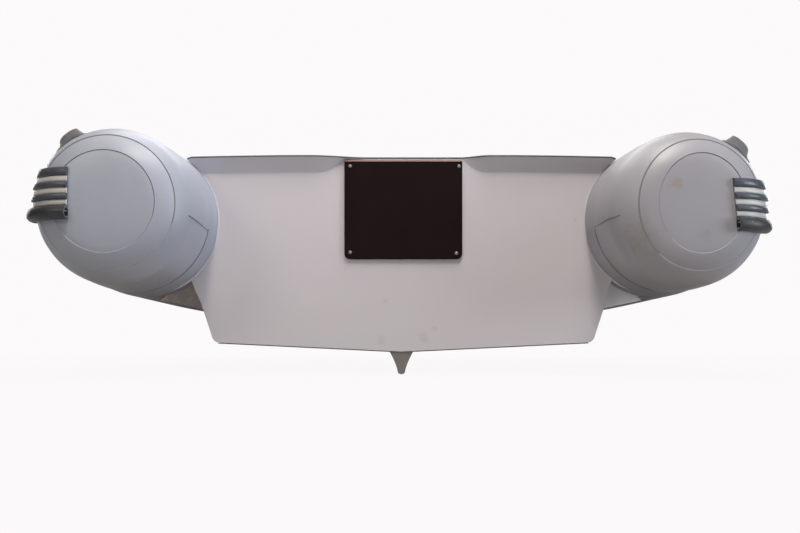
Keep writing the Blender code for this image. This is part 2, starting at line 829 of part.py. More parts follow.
def lay_on_tube(piece, u_middle, angle_middle, gap=FITTING_GAP, cuts_along=4, cuts_across=6):
    """Local X runs forward, local Y goes up round the tube and local Z stands off it."""
    body = bmesh.new()
    body.from_mesh(piece.data)
    spans = [(0, cuts_along), (1, cuts_across)]
    for axis, count in spans:
        low = min(v.co[axis] for v in body.verts)
        high = max(v.co[axis] for v in body.verts)
        for i in range(1, count):
            place = Vector((0, 0, 0))
            place[axis] = low + (high - low) * i / count + 1e-5
            direction = Vector((0, 0, 0))
            direction[axis] = 1
            geometry = body.verts[:] + body.edges[:] + body.faces[:]
            bmesh.ops.bisect_plane(body, geom=geometry, plane_co=place, plane_no=direction, dist=1e-6)
    metres = (tube_centre(u_middle + 0.01) - tube_centre(u_middle - 0.01)).length / 0.02
    forward = 1 if u_middle <= 2 else -1
    for vert in body.verts:
        u = u_middle + forward * vert.co.x / metres
        centre = tube_centre(u)
        angle = angle_middle + vert.co.y / tube_radius(centre.y)
        vert.co = tube_point(u, angle, gap + vert.co.z)
    body.to_mesh(piece.data)
    body.free()
    fixed = bmesh.new()
    fixed.from_mesh(piece.data)
    facing_out(fixed)
    fixed.to_mesh(piece.data)
    fixed.free()


def handle_width(z):
    """Half the width of a moulded handle at a height over its base."""
    return between(z, [(0.0, 0.0425), (0.006, 0.0415), (0.013, 0.0290), (0.040, 0.0190), (0.050, 0.0150)])


def grab_handle(name, u, angle, gap=FITTING_GAP, cuts_along=4):
    """A moulded rubber handle: a base and a grip with room for a hand."""
    half = HANDLE_LENGTH / 2
    high = HANDLE_HIGH
    right = [(half, 0.0), (half, 0.006), (half - 0.020, 0.011), (half - 0.046, 0.036), (half - 0.058, high - 0.002),
             (half - 0.070, high)]
    outer = right + [(-x, z) for x, z in reversed(right)]
    hole_right = [(0.052, 0.011), (0.055, 0.018), (0.049, 0.028), (0.038, 0.032)]
    hole = hole_right + [(-x, z) for x, z in reversed(hole_right)]
    piece = flat_outline(name, [outer, hole], 2.0, GREY_RUBBER)
    for vert in piece.data.vertices:
        along, z, across = vert.co
        vert.co = (along, across * handle_width(z), z)
    lay_on_tube(piece, u, radians(angle), gap, cuts_along)
    piece.data.shade_smooth()
    piece.data.set_sharp_from_angle(angle=radians(40))
    return piece


def grab_handles():
    for place, y in zip(("aft", "middle", "forward"), HANDLE_PLACES):
        u = path_value(y)
        on_cone = y < 0
        fit = (FITTING_GAP * 1.5, 8) if on_cone else (FITTING_GAP, 4)
        angle = HANDLE_ANGLE_LOW if on_cone else HANDLE_ANGLE
        starboard = grab_handle("grab_handle_starboard_" + place, u, angle, *fit)
        grab_handle("grab_handle_port_" + place, 4 - u, HANDLE_ANGLE, *fit)
        if on_cone:
            sag(starboard)
    grab_handle("bow_handle", 2.0, 90.0)


def valve(name, u, angle, gap):
    body = bmesh.new()
    bmesh.ops.create_cone(body, cap_ends=True, segments=28, radius1=VALVE_RADIUS, radius2=VALVE_RADIUS * 0.86,
                          depth=VALVE_THICK, matrix=Matrix.Translation((0, 0, VALVE_THICK / 2)))
    piece = add_object(name, mesh_from(name, body), GREY_RUBBER)
    lay_on_tube(piece, u, radians(angle), gap, cuts_along=5, cuts_across=6)


def valves():
    valve("valve_starboard", path_value(0.45), 160.0, SOFT_GAP)
    valve("valve_port", 4 - path_value(0.45), 160.0, SOFT_GAP)
    valve("valve_bow", 1.34, 150.0, FITTING_GAP * 2)


def bow_eye():
    """A U-shaped eye on the stem, its two legs in the centreline plane."""
    y = 2.90
    step = 0.02
    along = Vector((0, 2 * step, keel_height(y + step) - keel_height(y - step))).normalized()
    out = Vector((0, along.z, -along.y))
    foot = Vector((0, y, keel_height(y)))
    half, reach, wire = 0.022, 0.040, 0.005
    curve = bpy.data.curves.new("bow_eye", "CURVE")
    curve.dimensions = "3D"
    curve.bevel_depth = wire
    curve.bevel_resolution = 3
    curve.use_fill_caps = True
    points = [foot - along * half]
    steps = 8
    for i in range(steps + 1):
        angle = pi * i / steps
        points.append(foot - along * (half * cos(angle)) + out * (reach - half + half * sin(angle)))
    points.append(foot + along * half)
    spline = curve.splines.new("POLY")
    spline.points.add(len(points) - 1)
    for spot, point in zip(spline.points, points):
        spot.co = (*point, 1.0)
    add_object("bow_eye", curve, STEEL)


# Thwart

def thwart():
    board = block("thwart", (-THWART_HALF, THWART_FROM, THWART_LOW),
                  (THWART_HALF, THWART_TO, THWART_LOW + THWART_THICK), DECK_GREY)
    bevel(board, 0.006, 3)
    for name, side in (("thwart_bracket_starboard", 1), ("thwart_bracket_port", -1)):
        low = (min(side * BRACKET_IN, side * 0.58), THWART_FROM + 0.02, BRACKET_LOW)
        high = (max(side * BRACKET_IN, side * 0.58), THWART_TO - 0.02, THWART_LOW - GAP)
        bracket = block(name, low, high, GREY_RUBBER)
        start = tube_centre(THWART_FROM / BOW_START)
        end = tube_centre(THWART_TO / BOW_START)
        along = end - start
        start, end = start - along, end + along
        start.x, end.x = side * start.x, side * end.x
        cutter = rod(name + "_seat", start, end, RADIUS_MID + SOFT_GAP, TUBE_GREY, CUTTERS, 96)
        boolean(bracket, as_cutter(cutter), "DIFFERENCE")


# Bow locker

def locker_half(y, inset=0.0):
    share = (y - LOCKER_AFT) / (LOCKER_FRONT - LOCKER_AFT)
    return LOCKER_HALF_AFT + (LOCKER_HALF_FRONT - LOCKER_HALF_AFT) * share - inset


def locker_outline(aft, front, inset):
    return [(-locker_half(aft, inset), aft), (locker_half(aft, inset), aft),
            (locker_half(front, inset), front), (-locker_half(front, inset), front)]


def bow_locker():
    """An open-topped box whose walls are one moulding, and its floor."""
    low = DECK_LEVEL + LINER_THICK + 3 * GAP
    outline = rounded(locker_outline(LOCKER_AFT, LOCKER_FRONT, 0.0), 0.03)
    box = flat_outline("bow_locker", [outline], LOCKER_HIGH - low, DECK_GREY)
    box.location.z = (LOCKER_HIGH + low) / 2
    inner = locker_outline(LOCKER_AFT + LOCKER_WALL, LOCKER_FRONT - LOCKER_WALL, LOCKER_WALL)
    inside = flat_outline("locker_inside", [rounded(inner, 0.024)], LOCKER_HIGH, DECK_GREY, CUTTERS)
    inside.location.z = LOCKER_HIGH / 2 + low + LOCKER_WALL
    boolean(box, as_cutter(inside), "DIFFERENCE")


def locker_lid():
    """The lid, its origin on the hinge's axis, with the latch that hangs from its aft edge."""
    axis_z = LOCKER_HIGH + GAP + LID_THICK / 2
    axis_y = LOCKER_FRONT + 0.0030
    front = axis_y - HINGE_RADIUS - 0.0005
    hinge_line = bpy.data.objects.new("lid_hinge_line", None)
    hinge_line.location = (0, axis_y, axis_z)
    PARTS.objects.link(hinge_line)
    outline = locker_outline(LOCKER_AFT - LID_OVERHANG, front, -LID_OVERHANG)
    lid = flat_outline("locker_lid", [rounded([(x, y - axis_y) for x, y in outline], 0.03)], LID_THICK, DECK_GREY)
    lid.parent = hinge_line
    bevel(lid, 0.004)
    latch_low = -LID_THICK / 2 - 0.032
    aft = LOCKER_AFT - LID_OVERHANG - axis_y
    latch = block("lid_latch", (-0.03, aft - GAP - 0.006, latch_low), (0.03, aft - GAP, LID_THICK / 2 - 0.004), STEEL)
    latch.parent = hinge_line
    bevel(latch, 0.002)
    barrel = rod("locker_hinge", (-HINGE_HALF, axis_y, axis_z), (HINGE_HALF, axis_y, axis_z), HINGE_RADIUS, STEEL,
                 sides=20)
    leaf_low = (-HINGE_HALF, LOCKER_FRONT + GAP, axis_z - 0.050)
    leaf_high = (HINGE_HALF, LOCKER_FRONT + GAP + 0.003, axis_z)
    leaf = as_cutter(block("hinge_leaf", leaf_low, leaf_high, STEEL, CUTTERS))
    boolean(barrel, leaf, "UNION")


chambers()
sag(welded_mesh(stern_cone("stern_cone_starboard", 1)))
stern_cone("stern_cone_port", -1)
strakes()
hull_bottom()
deck_liner()
spray_rail("spray_rail_starboard", 1)
spray_rail("spray_rail_port", -1)
keel_skeg()
TUBE_CUTTERS = tube_cutters()
transom(TUBE_CUTTERS)
transom_cap(TUBE_CUTTERS)
engine_pads()
grab_handles()
valves()
bow_eye()
thwart()
bow_locker()
locker_lid()
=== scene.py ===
from math import asin, cos, exp, pi, radians, sin, sqrt

import bmesh
import bpy
from mathutils import Matrix, Vector


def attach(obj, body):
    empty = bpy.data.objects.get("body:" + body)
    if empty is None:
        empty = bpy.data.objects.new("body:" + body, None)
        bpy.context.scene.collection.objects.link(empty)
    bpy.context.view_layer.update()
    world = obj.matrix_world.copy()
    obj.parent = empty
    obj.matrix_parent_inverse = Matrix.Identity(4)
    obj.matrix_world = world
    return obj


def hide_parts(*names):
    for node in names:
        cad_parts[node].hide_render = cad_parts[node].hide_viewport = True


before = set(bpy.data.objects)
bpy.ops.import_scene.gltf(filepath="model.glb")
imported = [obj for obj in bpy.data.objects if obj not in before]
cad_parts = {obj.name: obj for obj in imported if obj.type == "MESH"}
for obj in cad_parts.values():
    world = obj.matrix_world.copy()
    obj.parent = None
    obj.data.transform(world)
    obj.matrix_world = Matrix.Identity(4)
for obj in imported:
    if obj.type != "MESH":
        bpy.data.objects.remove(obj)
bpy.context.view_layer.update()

scene = bpy.context.scene
print("frame loaded,", len(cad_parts), "nodes")

# Metres, +Y towards the bow, +X to starboard. The origin is on the centreline at the transom's aft face.


def newObject(name, data):
    made = bpy.data.objects.new(name, data)
    scene.collection.objects.link(made)
    return made


# Camera: level, low behind the boat, a little to port of the middle
cameraSetup = {"place": (-0.018, -2.046, -0.134), "lens": 35.0, "sensor": 36.0, "shift": (0.0068, 0.1006),
               "reach": 200.0}

camera = newObject("camera", bpy.data.cameras.new("camera"))
camera.data.lens, camera.data.sensor_width = cameraSetup["lens"], cameraSetup["sensor"]
camera.data.shift_x, camera.data.shift_y = cameraSetup["shift"]
camera.data.clip_end = cameraSetup["reach"]
camera.location = cameraSetup["place"]
camera.rotation_euler = (radians(90), 0, 0)
scene.camera = camera
scene.view_settings.view_transform = "Standard"


# Lights: soft round boxes, each with its place, aim, size, power and colour
sternAim = (0, 0, 0.1)
lightSetup = {
    "key": ((0.0, -2.6, 4.4), sternAim, 0.9, 130, (1.0, 0.93, 0.84)),
    "frontLeft": ((-2.5, -3.0, 2.0), sternAim, 1.4, 27, (1.0, 0.93, 0.81)),
    "lowRight": ((3.5, -1.5, 0.5), sternAim, 1.4, 48, (0.84, 0.92, 1.0)),
    "farRight": ((6.5, -4.0, 4.5), sternAim, 3.0, 72, (0.74, 0.86, 1.0)),
    "overStern": ((0.4, -0.7, 2.6), sternAim, 1.2, 40, (1.0, 0.97, 0.90)),
    "overBoat": ((-0.9, 0.9, 3.4), (0, 0.2, 0.1), 1.6, 28, (1.0, 0.96, 0.95)),
    # these stand beyond the bow and hardly reach the stern
    "bowTop": ((0.0, 4.4, 4.6), (0, 2.4, 0.2), 4.0, 110, (1.0, 0.99, 0.98)),
    "bowLeft": ((-6.0, 5.5, 2.0), (-0.4, 2.0, 0.3), 3.0, 150, (1.0, 0.97, 0.94)),
    "bowRight": ((6.0, 5.5, 2.0), (0.4, 2.0, 0.3), 3.0, 130, (0.94, 0.97, 1.0)),
}


def addLight(name, place, aim, size, power, colour):
    lamp = bpy.data.lights.new(name, "AREA")
    lamp.shape, lamp.size, lamp.energy, lamp.color = "DISK", size, power, colour
    light = newObject(name, lamp)
    light.location = place
    light.rotation_euler = (Vector(aim) - Vector(place)).to_track_quat("-Z", "Y").to_euler()


for lightName, lightLook in lightSetup.items():
    addLight(lightName, *lightLook)
print("camera and", len(lightSetup), "lights set")


# Node helpers
def join(tree, value, socket):
    # links an output, or sets a plain value or colour
    if isinstance(value, bpy.types.NodeSocket):
        tree.links.new(value, socket)
    else:
        socket.default_value = (*value, 1.0) if socket.type == "RGBA" else value


def addNode(tree, kind, inputs=None, **settings):
    made = tree.nodes.new("ShaderNode" + kind)
    for key, value in settings.items():
        setattr(made, key, value)
    for key, value in (inputs or {}).items():
        join(tree, value, made.inputs[key])
    return made


def maths(tree, operation, first, second, clamp=False):
    return addNode(tree, "Math", {0: first, 1: second}, operation=operation, use_clamp=clamp).outputs[0]


def times(tree, first, second):
    return maths(tree, "MULTIPLY", first, second)


def plus(tree, first, second, clamp=False):
    return maths(tree, "ADD", first, second, clamp)


def measure(tree, operation, first, second=(0, 0, 0)):
    return addNode(tree, "VectorMath", {0: first, 1: second}, operation=operation).outputs["Value"]


def rangeOf(tree, value, low, high, toLow=0.0, toHigh=1.0, kind="LINEAR"):
    inputs = dict(enumerate((value, low, high, toLow, toHigh)))
    return addNode(tree, "MapRange", inputs, interpolation_type=kind).outputs[0]


def mixColour(tree, share, first, second):
    return addNode(tree, "Mix", {0: share, 6: first, 7: second}, data_type="RGBA").outputs[2]


def objectPlace(tree, scale=(1, 1, 1), turn=(0, 0, 0)):
    place = addNode(tree, "TexCoord").outputs["Object"]
    return addNode(tree, "Mapping", {"Vector": place, "Rotation": turn, "Scale": scale}).outputs[0]


def noiseOf(tree, scale, detail, roughness=0.5, place=None, distortion=0.0):
    inputs = {"Vector": objectPlace(tree) if place is None else place, "Scale": scale, "Detail": detail,
              "Roughness": roughness, "Distortion": distortion}
    return addNode(tree, "TexNoise", inputs).outputs[0]


def newMaterial(name):
    material = bpy.data.materials.new(name)
    material.use_nodes = True
    return material, material.node_tree, material.node_tree.nodes["Principled BSDF"]


# Shared effects: each puts out a mask or a height that changes over the surface
def mottle(tree, given):
    half = times(tree, given["Contrast"], 0.5)
    coarse = noiseOf(tree, given["Scale"], 4.0, 0.6)
    return rangeOf(tree, coarse, maths(tree, "SUBTRACT", 0.5, half), plus(tree, 0.5, half))


def grime(tree, given):
    drawn = noiseOf(tree, given["Scale"], 5.0, 0.55, objectPlace(tree, (1.0, 1.0, 0.35)), 0.35)
    fine = noiseOf(tree, times(tree, given["Scale"], 9.0), 5.0, 0.7)
    start = maths(tree, "SUBTRACT", 0.66, times(tree, given["Cover"], 0.4))
    patches = rangeOf(tree, drawn, start, plus(tree, start, 0.34))
    return times(tree, patches, rangeOf(tree, fine, 0.30, 0.70, 0.55, 1.0))


def dust(tree, given):
    up = addNode(tree, "SeparateXYZ", {0: addNode(tree, "NewGeometry").outputs["Normal"]}).outputs["Z"]
    speckle = rangeOf(tree, noiseOf(tree, 38.0, 6.0, 0.7), 0.35, 0.65, 0.3, 1.0)
    return times(tree, times(tree, rangeOf(tree, up, 0.25, 0.95), speckle), given["Cover"])


def scuffs(tree, given):
    total = 0.0
    for turn, stretch in ((0.4, (1.0, 40.0, 24.0)), (-0.7, (36.0, 1.0, 18.0)), (1.2, (22.0, 34.0, 1.2))):
        lines = noiseOf(tree, given["Scale"], 2.0, place=objectPlace(tree, stretch, (turn, turn * 0.6, turn)))
        total = maths(tree, "MAXIMUM", total, rangeOf(tree, lines, 0.68, 0.76))
    return times(tree, total, given["Amount"])


def weave(tree, given):
    inputs = {"Vector": addNode(tree, "UVMap").outputs[0], "Scale": times(tree, given["Threads"], 0.05),
              "Distortion": 0.15, "Detail": 1.0}
    return times(tree, *(addNode(tree, "TexWave", inputs, wave_type="BANDS", bands_direction=way).outputs["Fac"]
                         for way in "XY"))


def orangePeel(tree, given):
    slow = noiseOf(tree, times(tree, given["Scale"], 0.04), 1.0)
    return plus(tree, noiseOf(tree, given["Scale"], 2.0), times(tree, slow, 3.0))


def edgeWear(tree, given):
    plain = addNode(tree, "NewGeometry").outputs["Normal"]
    soft = addNode(tree, "Bevel", {"Radius": given["Radius"]}, samples=4).outputs[0]
    edge = rangeOf(tree, measure(tree, "DOT_PRODUCT", plain, soft), 0.995, 0.90)
    broken = rangeOf(tree, noiseOf(tree, 55.0, 4.0), 0.42, 0.60)
    return times(tree, times(tree, edge, broken), given["Amount"])


def stain(tree, given):
    # a soft smudge round one place, broken up by noise
    place = addNode(tree, "CombineXYZ", {0: given["X"], 1: given["Y"], 2: given["Z"]}).outputs[0]
    away = maths(tree, "DIVIDE", measure(tree, "DISTANCE", objectPlace(tree), place), given["Radius"])
    ragged = plus(tree, away, rangeOf(tree, noiseOf(tree, 45.0, 4.0, 0.6), 0.3, 0.7, -0.35, 0.45))
    return times(tree, rangeOf(tree, ragged, 1.0, 0.2, kind="SMOOTHSTEP"), given["Amount"])


def fade(tree, given):
    # from nothing at Start to full at End, measured along a direction across the boat and up
    way = addNode(tree, "CombineXYZ", {0: given["Across"], 2: given["Up"]}).outputs[0]
    along = measure(tree, "DOT_PRODUCT", objectPlace(tree), way)
    return rangeOf(tree, along, given["Start"], given["End"], kind="SMOOTHSTEP")


def makeGroup(name, build, output, inputs):
    group = bpy.data.node_groups.new(name, "ShaderNodeTree")
    for key, value in inputs.items():
        group.interface.new_socket(key, in_out="INPUT", socket_type="NodeSocketFloat").default_value = value
    group.interface.new_socket(output, in_out="OUTPUT", socket_type="NodeSocketFloat")
    made = build(group, group.nodes.new("NodeGroupInput").outputs)
    group.links.new(made, group.nodes.new("NodeGroupOutput").inputs[0])
    return group


effectTable = {
    "mottle": (mottle, "Mask", {"Scale": 6.0, "Contrast": 0.5}),
    "grime": (grime, "Mask", {"Scale": 5.0, "Cover": 0.4}),
    "dust": (dust, "Mask", {"Cover": 0.5}),
    "scuffs": (scuffs, "Mask", {"Scale": 7.0, "Amount": 0.5}),
    "weave": (weave, "Height", {"Threads": 900.0}),
    "orangePeel": (orangePeel, "Height", {"Scale": 120.0}),
    "edgeWear": (edgeWear, "Mask", {"Radius": 0.003, "Amount": 0.6}),
    "stain": (stain, "Mask", {"X": 0.0, "Y": 0.0, "Z": 0.0, "Radius": 0.02, "Amount": 0.5}),
    "fade": (fade, "Mask", {"Across": 1.0, "Up": 0.0, "Start": 0.0, "End": 1.0}),
}
effects = {name: makeGroup(name, *row) for name, row in effectTable.items()}
finishes = {}


# Finishes: two colours, how rough they are, and how much of each effect there is
def makeFinish(name, colour, colourTwo, roughness, mottle=(6.0, 0.5), films=(), grime=None, scuffs=None, stains=(),
               wear=None, dust=None, weave=None, peel=None, bump=0.0004, metallic=0.0, specular=0.5,
               coat=0.0, coatRoughness=0.1):
    material, tree, shader = newMaterial(name)

    def effect(kind, *values):
        inputs = dict(zip(effectTable[kind][2], values))
        return addNode(tree, "Group", inputs, node_tree=effects[kind]).outputs[0]

    def cover(tint, strength, kind, *values):
        nonlocal colour
        mask = effect(kind, *values)
        colour = mixColour(tree, times(tree, mask, strength), colour, tint)
        return mask

    tone = effect("mottle", *mottle)
    colour = mixColour(tree, tone, colour, colourTwo)
    rough = rangeOf(tree, tone, 0.0, 1.0, *roughness)
    height = 0.0
    for across, up, start, end, strength, tint in films:
        cover(tint, strength, "fade", across, up, start, end)
    if grime:
        scale, share, strength, tint = grime
        cover(tint, strength, "grime", scale, share)
    if scuffs:
        scale, amount, tint = scuffs
        mask = cover(tint, 1.0, "scuffs", scale, amount)
        rough = plus(tree, rough, times(tree, mask, 0.15))
        height = times(tree, mask, -0.3)
    for place, radius, amount, tint in stains:
        cover(tint, 1.0, "stain", *place, radius, amount)
    if wear:
        radius, amount, tint = wear
        cover(tint, 1.0, "edgeWear", radius, amount)
    if dust:
        share, tint = dust
        rough = plus(tree, rough, times(tree, cover(tint, 1.0, "dust", share), 0.3), True)
    for kind, given in (("weave", weave), ("orangePeel", peel)):
        if given:
            height = plus(tree, height, times(tree, effect(kind, given[0]), given[1]))
    normal = addNode(tree, "Bump", {"Height": height, "Distance": bump, "Strength": 0.6}).outputs[0]
    for key, value in {"Base Color": colour, "Roughness": rough, "Normal": normal, "Metallic": metallic,
                       "Specular IOR Level": specular, "Coat Weight": coat, "Coat Roughness": coatRoughness}.items():
        join(tree, value, shader.inputs[key])
    finishes[name] = material


# A film is (across, up, start, end, strength, colour): the first is painted shade, darker and warmer towards starboard
# in place of warmer, weaker light on that side; the other two make the tubes darker and browner towards their foot
sternShadeAndTints = ((1.0, 0.0, -0.55, 0.60, 0.5, (0.296, 0.254, 0.248)),
              (0.0, -1.0, -0.20, -0.04, 0.10, (0.22, 0.20, 0.20)),
              (0.0, -1.0, -0.10, 0.0, 0.50, (0.26, 0.215, 0.19)))

makeFinish("tubeFabric", (0.361, 0.388, 0.477), (0.392, 0.422, 0.512), (0.42, 0.52), (3.0, 0.7), sternShadeAndTints,
           (5.0, 0.25, 0.35, (0.30, 0.27, 0.25)), weave=(1100.0, 0.5), peel=(60.0, 0.5), specular=0.4,
           dust=(0.12, (0.55, 0.53, 0.52)))
makeFinish("capFabric", (0.359, 0.379, 0.459), (0.391, 0.413, 0.493), (0.36, 0.45), (4.5, 0.6), sternShadeAndTints,
           (7.0, 0.36, 0.22, (0.33, 0.29, 0.27)), (7.0, 0.10, (0.36, 0.35, 0.36)),
           (((0.617, -0.285, 0.237), 0.024, 0.65, (0.30, 0.245, 0.20)),
            ((0.556, -0.24, 0.119), 0.060, 0.75, (0.30, 0.255, 0.21)),
            ((0.545, -0.09, 0.073), 0.060, 0.70, (0.28, 0.235, 0.19)),
            ((0.684, -0.288, 0.118), 0.022, 0.40, (0.28, 0.25, 0.23)),
            ((-0.750, -0.275, 0.150), 0.016, 0.70, (0.17, 0.16, 0.17)),
            ((-0.60, -0.285, 0.235), 0.020, 0.10, (0.30, 0.26, 0.23)),
            ((-0.735, -0.285, 0.200), 0.008, 0.30, (0.24, 0.22, 0.21)),
            ((-0.745, -0.283, 0.215), 0.006, 0.30, (0.24, 0.22, 0.21))),
           weave=(1100.0, 0.12), peel=(60.0, 0.5), specular=0.4)
# seam finishes: the darker ones are also painted shade on the caps' seam steps, along a panel edge and under the
# transom
makeFinish("seamEdge", (0.14, 0.14, 0.16), (0.20, 0.20, 0.22), (0.55, 0.65), (30.0, 0.5), peel=(200.0, 0.5))
makeFinish("seamFaint", (0.26, 0.26, 0.29), (0.31, 0.31, 0.34), (0.5, 0.6), (24.0, 0.5), peel=(200.0, 0.5))
makeFinish("seamStep", (0.31, 0.31, 0.33), (0.36, 0.36, 0.38), (0.45, 0.55), (24.0, 0.5), peel=(200.0, 0.5))
makeFinish("seamTape", (0.368, 0.396, 0.482), (0.400, 0.430, 0.521), (0.42, 0.52), films=sternShadeAndTints,
           grime=(5.0, 0.30, 0.4, (0.30, 0.27, 0.25)), weave=(1100.0, 0.5), specular=0.4)
makeFinish("sealant", (0.62, 0.61, 0.64), (0.56, 0.55, 0.58), (0.35, 0.45), (20.0, 0.5), peel=(90.0, 0.6))
# transom gelcoat: its film, darker towards the bottom, is painted shade
makeFinish("hullGelcoat", (0.595, 0.559, 0.609), (0.618, 0.582, 0.630), (0.34, 0.42), (2.5, 0.5),
           ((0.12, -1.0, -0.28, 0.12, 0.22, (0.36, 0.33, 0.33)),), (5.0, 0.30, 0.035, (0.36, 0.31, 0.29)),
           (5.0, 0.05, (0.42, 0.38, 0.37)),
           (((0.456, 0.0, 0.200), 0.006, 0.25, (0.25, 0.20, 0.18)),
            ((-0.043, 0.0, -0.012), 0.010, 0.18, (0.30, 0.26, 0.24)),
            ((0.060, 0.0, -0.110), 0.020, 0.16, (0.30, 0.24, 0.21)),
            ((0.085, 0.0, -0.088), 0.012, 0.16, (0.30, 0.24, 0.21)),
            ((-0.050, 0.0, -0.120), 0.018, 0.16, (0.30, 0.24, 0.21))),
           peel=(140.0, 1.0), bump=0.00012, coat=0.3, coatRoughness=0.15)
# the lip's underside: a darker copy of the transom gelcoat as painted shade, and a film that is painted shade too,
# darker and warmer towards starboard
makeFinish("lipGelcoat", (0.550, 0.528, 0.580), (0.580, 0.556, 0.610), (0.34, 0.44), (2.5, 0.5),
           ((1.0, 0.0, -0.55, 0.60, 0.5, (0.450, 0.420, 0.425)),), peel=(140.0, 1.0), bump=0.00012)
# hull underside: its film, lighter towards starboard, is painted light; a large patch makes the port side near the
# stern darker and browner
makeFinish("hullUnderside", (0.625, 0.549, 0.547), (0.703, 0.625, 0.627), (0.36, 0.46), (2.5, 0.5),
           ((1.0, 0.0, 0.30, 0.50, 0.9, (0.74, 0.74, 0.78)),), (5.0, 0.45, 0.5, (0.20, 0.165, 0.14)),
           (4.0, 0.6, (0.30, 0.27, 0.25)), (((-0.56, 0.10, -0.04), 0.30, 0.75, (0.33, 0.275, 0.25)),),
           peel=(140.0, 1.0), bump=0.00015, coat=0.2)
makeFinish("deckGelcoat", (0.56, 0.545, 0.53), (0.60, 0.585, 0.57), (0.36, 0.46), (3.0, 0.5),
           grime=(5.0, 0.40, 0.35, (0.33, 0.30, 0.27)), wear=(0.003, 0.3, (0.68, 0.67, 0.66)),
           dust=(0.25, (0.58, 0.55, 0.51)), peel=(160.0, 1.0), bump=0.00015)
makeFinish("deckGrip", (0.43, 0.42, 0.415), (0.48, 0.47, 0.46), (0.55, 0.68), (5.0, 0.5),
           grime=(5.0, 0.45, 0.45, (0.26, 0.235, 0.21)), dust=(0.30, (0.55, 0.52, 0.48)), peel=(900.0, 1.0))
makeFinish("strakeDark", (0.058, 0.063, 0.082), (0.080, 0.085, 0.105), (0.30, 0.42), (14.0, 0.5),
           scuffs=(7.0, 0.20, (0.14, 0.14, 0.16)), dust=(0.12, (0.26, 0.26, 0.27)), peel=(160.0, 1.0), bump=0.0002)
makeFinish("strakeLight", (0.55, 0.53, 0.525), (0.61, 0.59, 0.58), (0.35, 0.48), (12.0, 0.5),
           grime=(5.0, 0.40, 0.4, (0.33, 0.30, 0.26)), peel=(160.0, 1.0), bump=0.0002)
makeFinish("beadRubber", (0.026, 0.027, 0.033), (0.042, 0.043, 0.051), (0.32, 0.48), (10.0, 0.5), specular=0.45,
           scuffs=(7.0, 0.25, (0.11, 0.11, 0.12)), dust=(0.14, (0.24, 0.24, 0.24)), peel=(120.0, 1.0), bump=0.0003)
makeFinish("handleRubber", (0.108, 0.106, 0.115), (0.135, 0.133, 0.142), (0.50, 0.62), (18.0, 0.5),
           wear=(0.002, 0.4, (0.22, 0.22, 0.23)), dust=(0.14, (0.28, 0.28, 0.30)), peel=(500.0, 1.0), bump=0.0003)
makeFinish("trimRubber", (0.10, 0.10, 0.11), (0.15, 0.15, 0.16), (0.35, 0.5), (16.0, 0.5),
           dust=(0.3, (0.35, 0.35, 0.35)), peel=(240.0, 1.0), bump=0.0002)
makeFinish("padFace", (0.0100, 0.0042, 0.0050), (0.0125, 0.0058, 0.0066), (0.42, 0.55), (9.0, 0.8),
           scuffs=(9.0, 0.06, (0.05, 0.045, 0.045)), peel=(420.0, 1.0), bump=0.00015, specular=0.09)
makeFinish("padEdge", (0.20, 0.110, 0.092), (0.15, 0.080, 0.068), (0.5, 0.65), (60.0, 0.5), peel=(700.0, 1.0),
           bump=0.0003)
makeFinish("steel", (0.60, 0.60, 0.61), (0.50, 0.50, 0.51), (0.22, 0.36), (40.0, 0.5), metallic=1.0,
           scuffs=(30.0, 0.5, (0.45, 0.44, 0.43)), peel=(800.0, 0.6), bump=0.0001)
makeFinish("dullSteel", (0.34, 0.36, 0.37), (0.24, 0.25, 0.26), (0.42, 0.55), (160.0, 0.5), metallic=0.7,
           peel=(800.0, 0.6), bump=0.0001)
makeFinish("skegWorn", (0.205, 0.180, 0.172), (0.165, 0.150, 0.145), (0.45, 0.60), (6.0, 0.5),
           grime=(5.0, 0.40, 0.4, (0.10, 0.09, 0.085)), peel=(240.0, 1.0), bump=0.0002)
makeFinish("valvePlastic", (0.11, 0.11, 0.115), (0.14, 0.14, 0.145), (0.40, 0.52), (20.0, 0.5),
           wear=(0.0015, 0.4, (0.24, 0.24, 0.25)), dust=(0.2, (0.33, 0.33, 0.33)), peel=(500.0, 1.0), bump=0.0002)
print("made", len(finishes), "finishes and", len(effects), "shared effects")


# Floor and backdrop: pale, and nearly even in the camera so that the boat stands on white
stageSetup = {
    "floorHeight": -0.2075, "floorRadius": 40.0, "white": (0.972, 0.955, 0.963), "floorColour": (0.40, 0.40, 0.40),
    "whiteNear": 0.97, "shadeReach": (1.5, 5.0),       # the floor is even white beyond the boat's soft shade
    "skyTop": (1.0, 1.0, 1.0), "skyLevel": (0.6, 0.6, 0.6), "skyLow": (0.2, 0.2, 0.2), "skyPower": 0.06,
}


def meshOf(name, body):
    mesh = bpy.data.meshes.new(name)
    body.to_mesh(mesh)
    body.free()
    return mesh


def makeFloor():
    body = bmesh.new()
    bmesh.ops.create_circle(body, cap_ends=True, segments=96, radius=stageSetup["floorRadius"])
    floor = newObject("floor", meshOf("floor", body))
    floor.location.z = stageSetup["floorHeight"]
    material, tree, shader = newMaterial("floorPale")
    join(tree, stageSetup["floorColour"], shader.inputs["Base Color"])
    join(tree, 0.8, shader.inputs["Roughness"])
    glow = addNode(tree, "Emission", {"Color": stageSetup["white"], "Strength": 1.0})
    seen = addNode(tree, "LightPath").outputs["Is Camera Ray"]
    away = measure(tree, "LENGTH", objectPlace(tree))
    white = rangeOf(tree, away, *stageSetup["shadeReach"], stageSetup["whiteNear"], 1.0)
    mixed = addNode(tree, "MixShader", {0: times(tree, seen, white), 1: shader.outputs[0], 2: glow.outputs[0]})
    tree.links.new(mixed.outputs[0], tree.nodes["Material Output"].inputs[0])
    floor.data.materials.append(material)


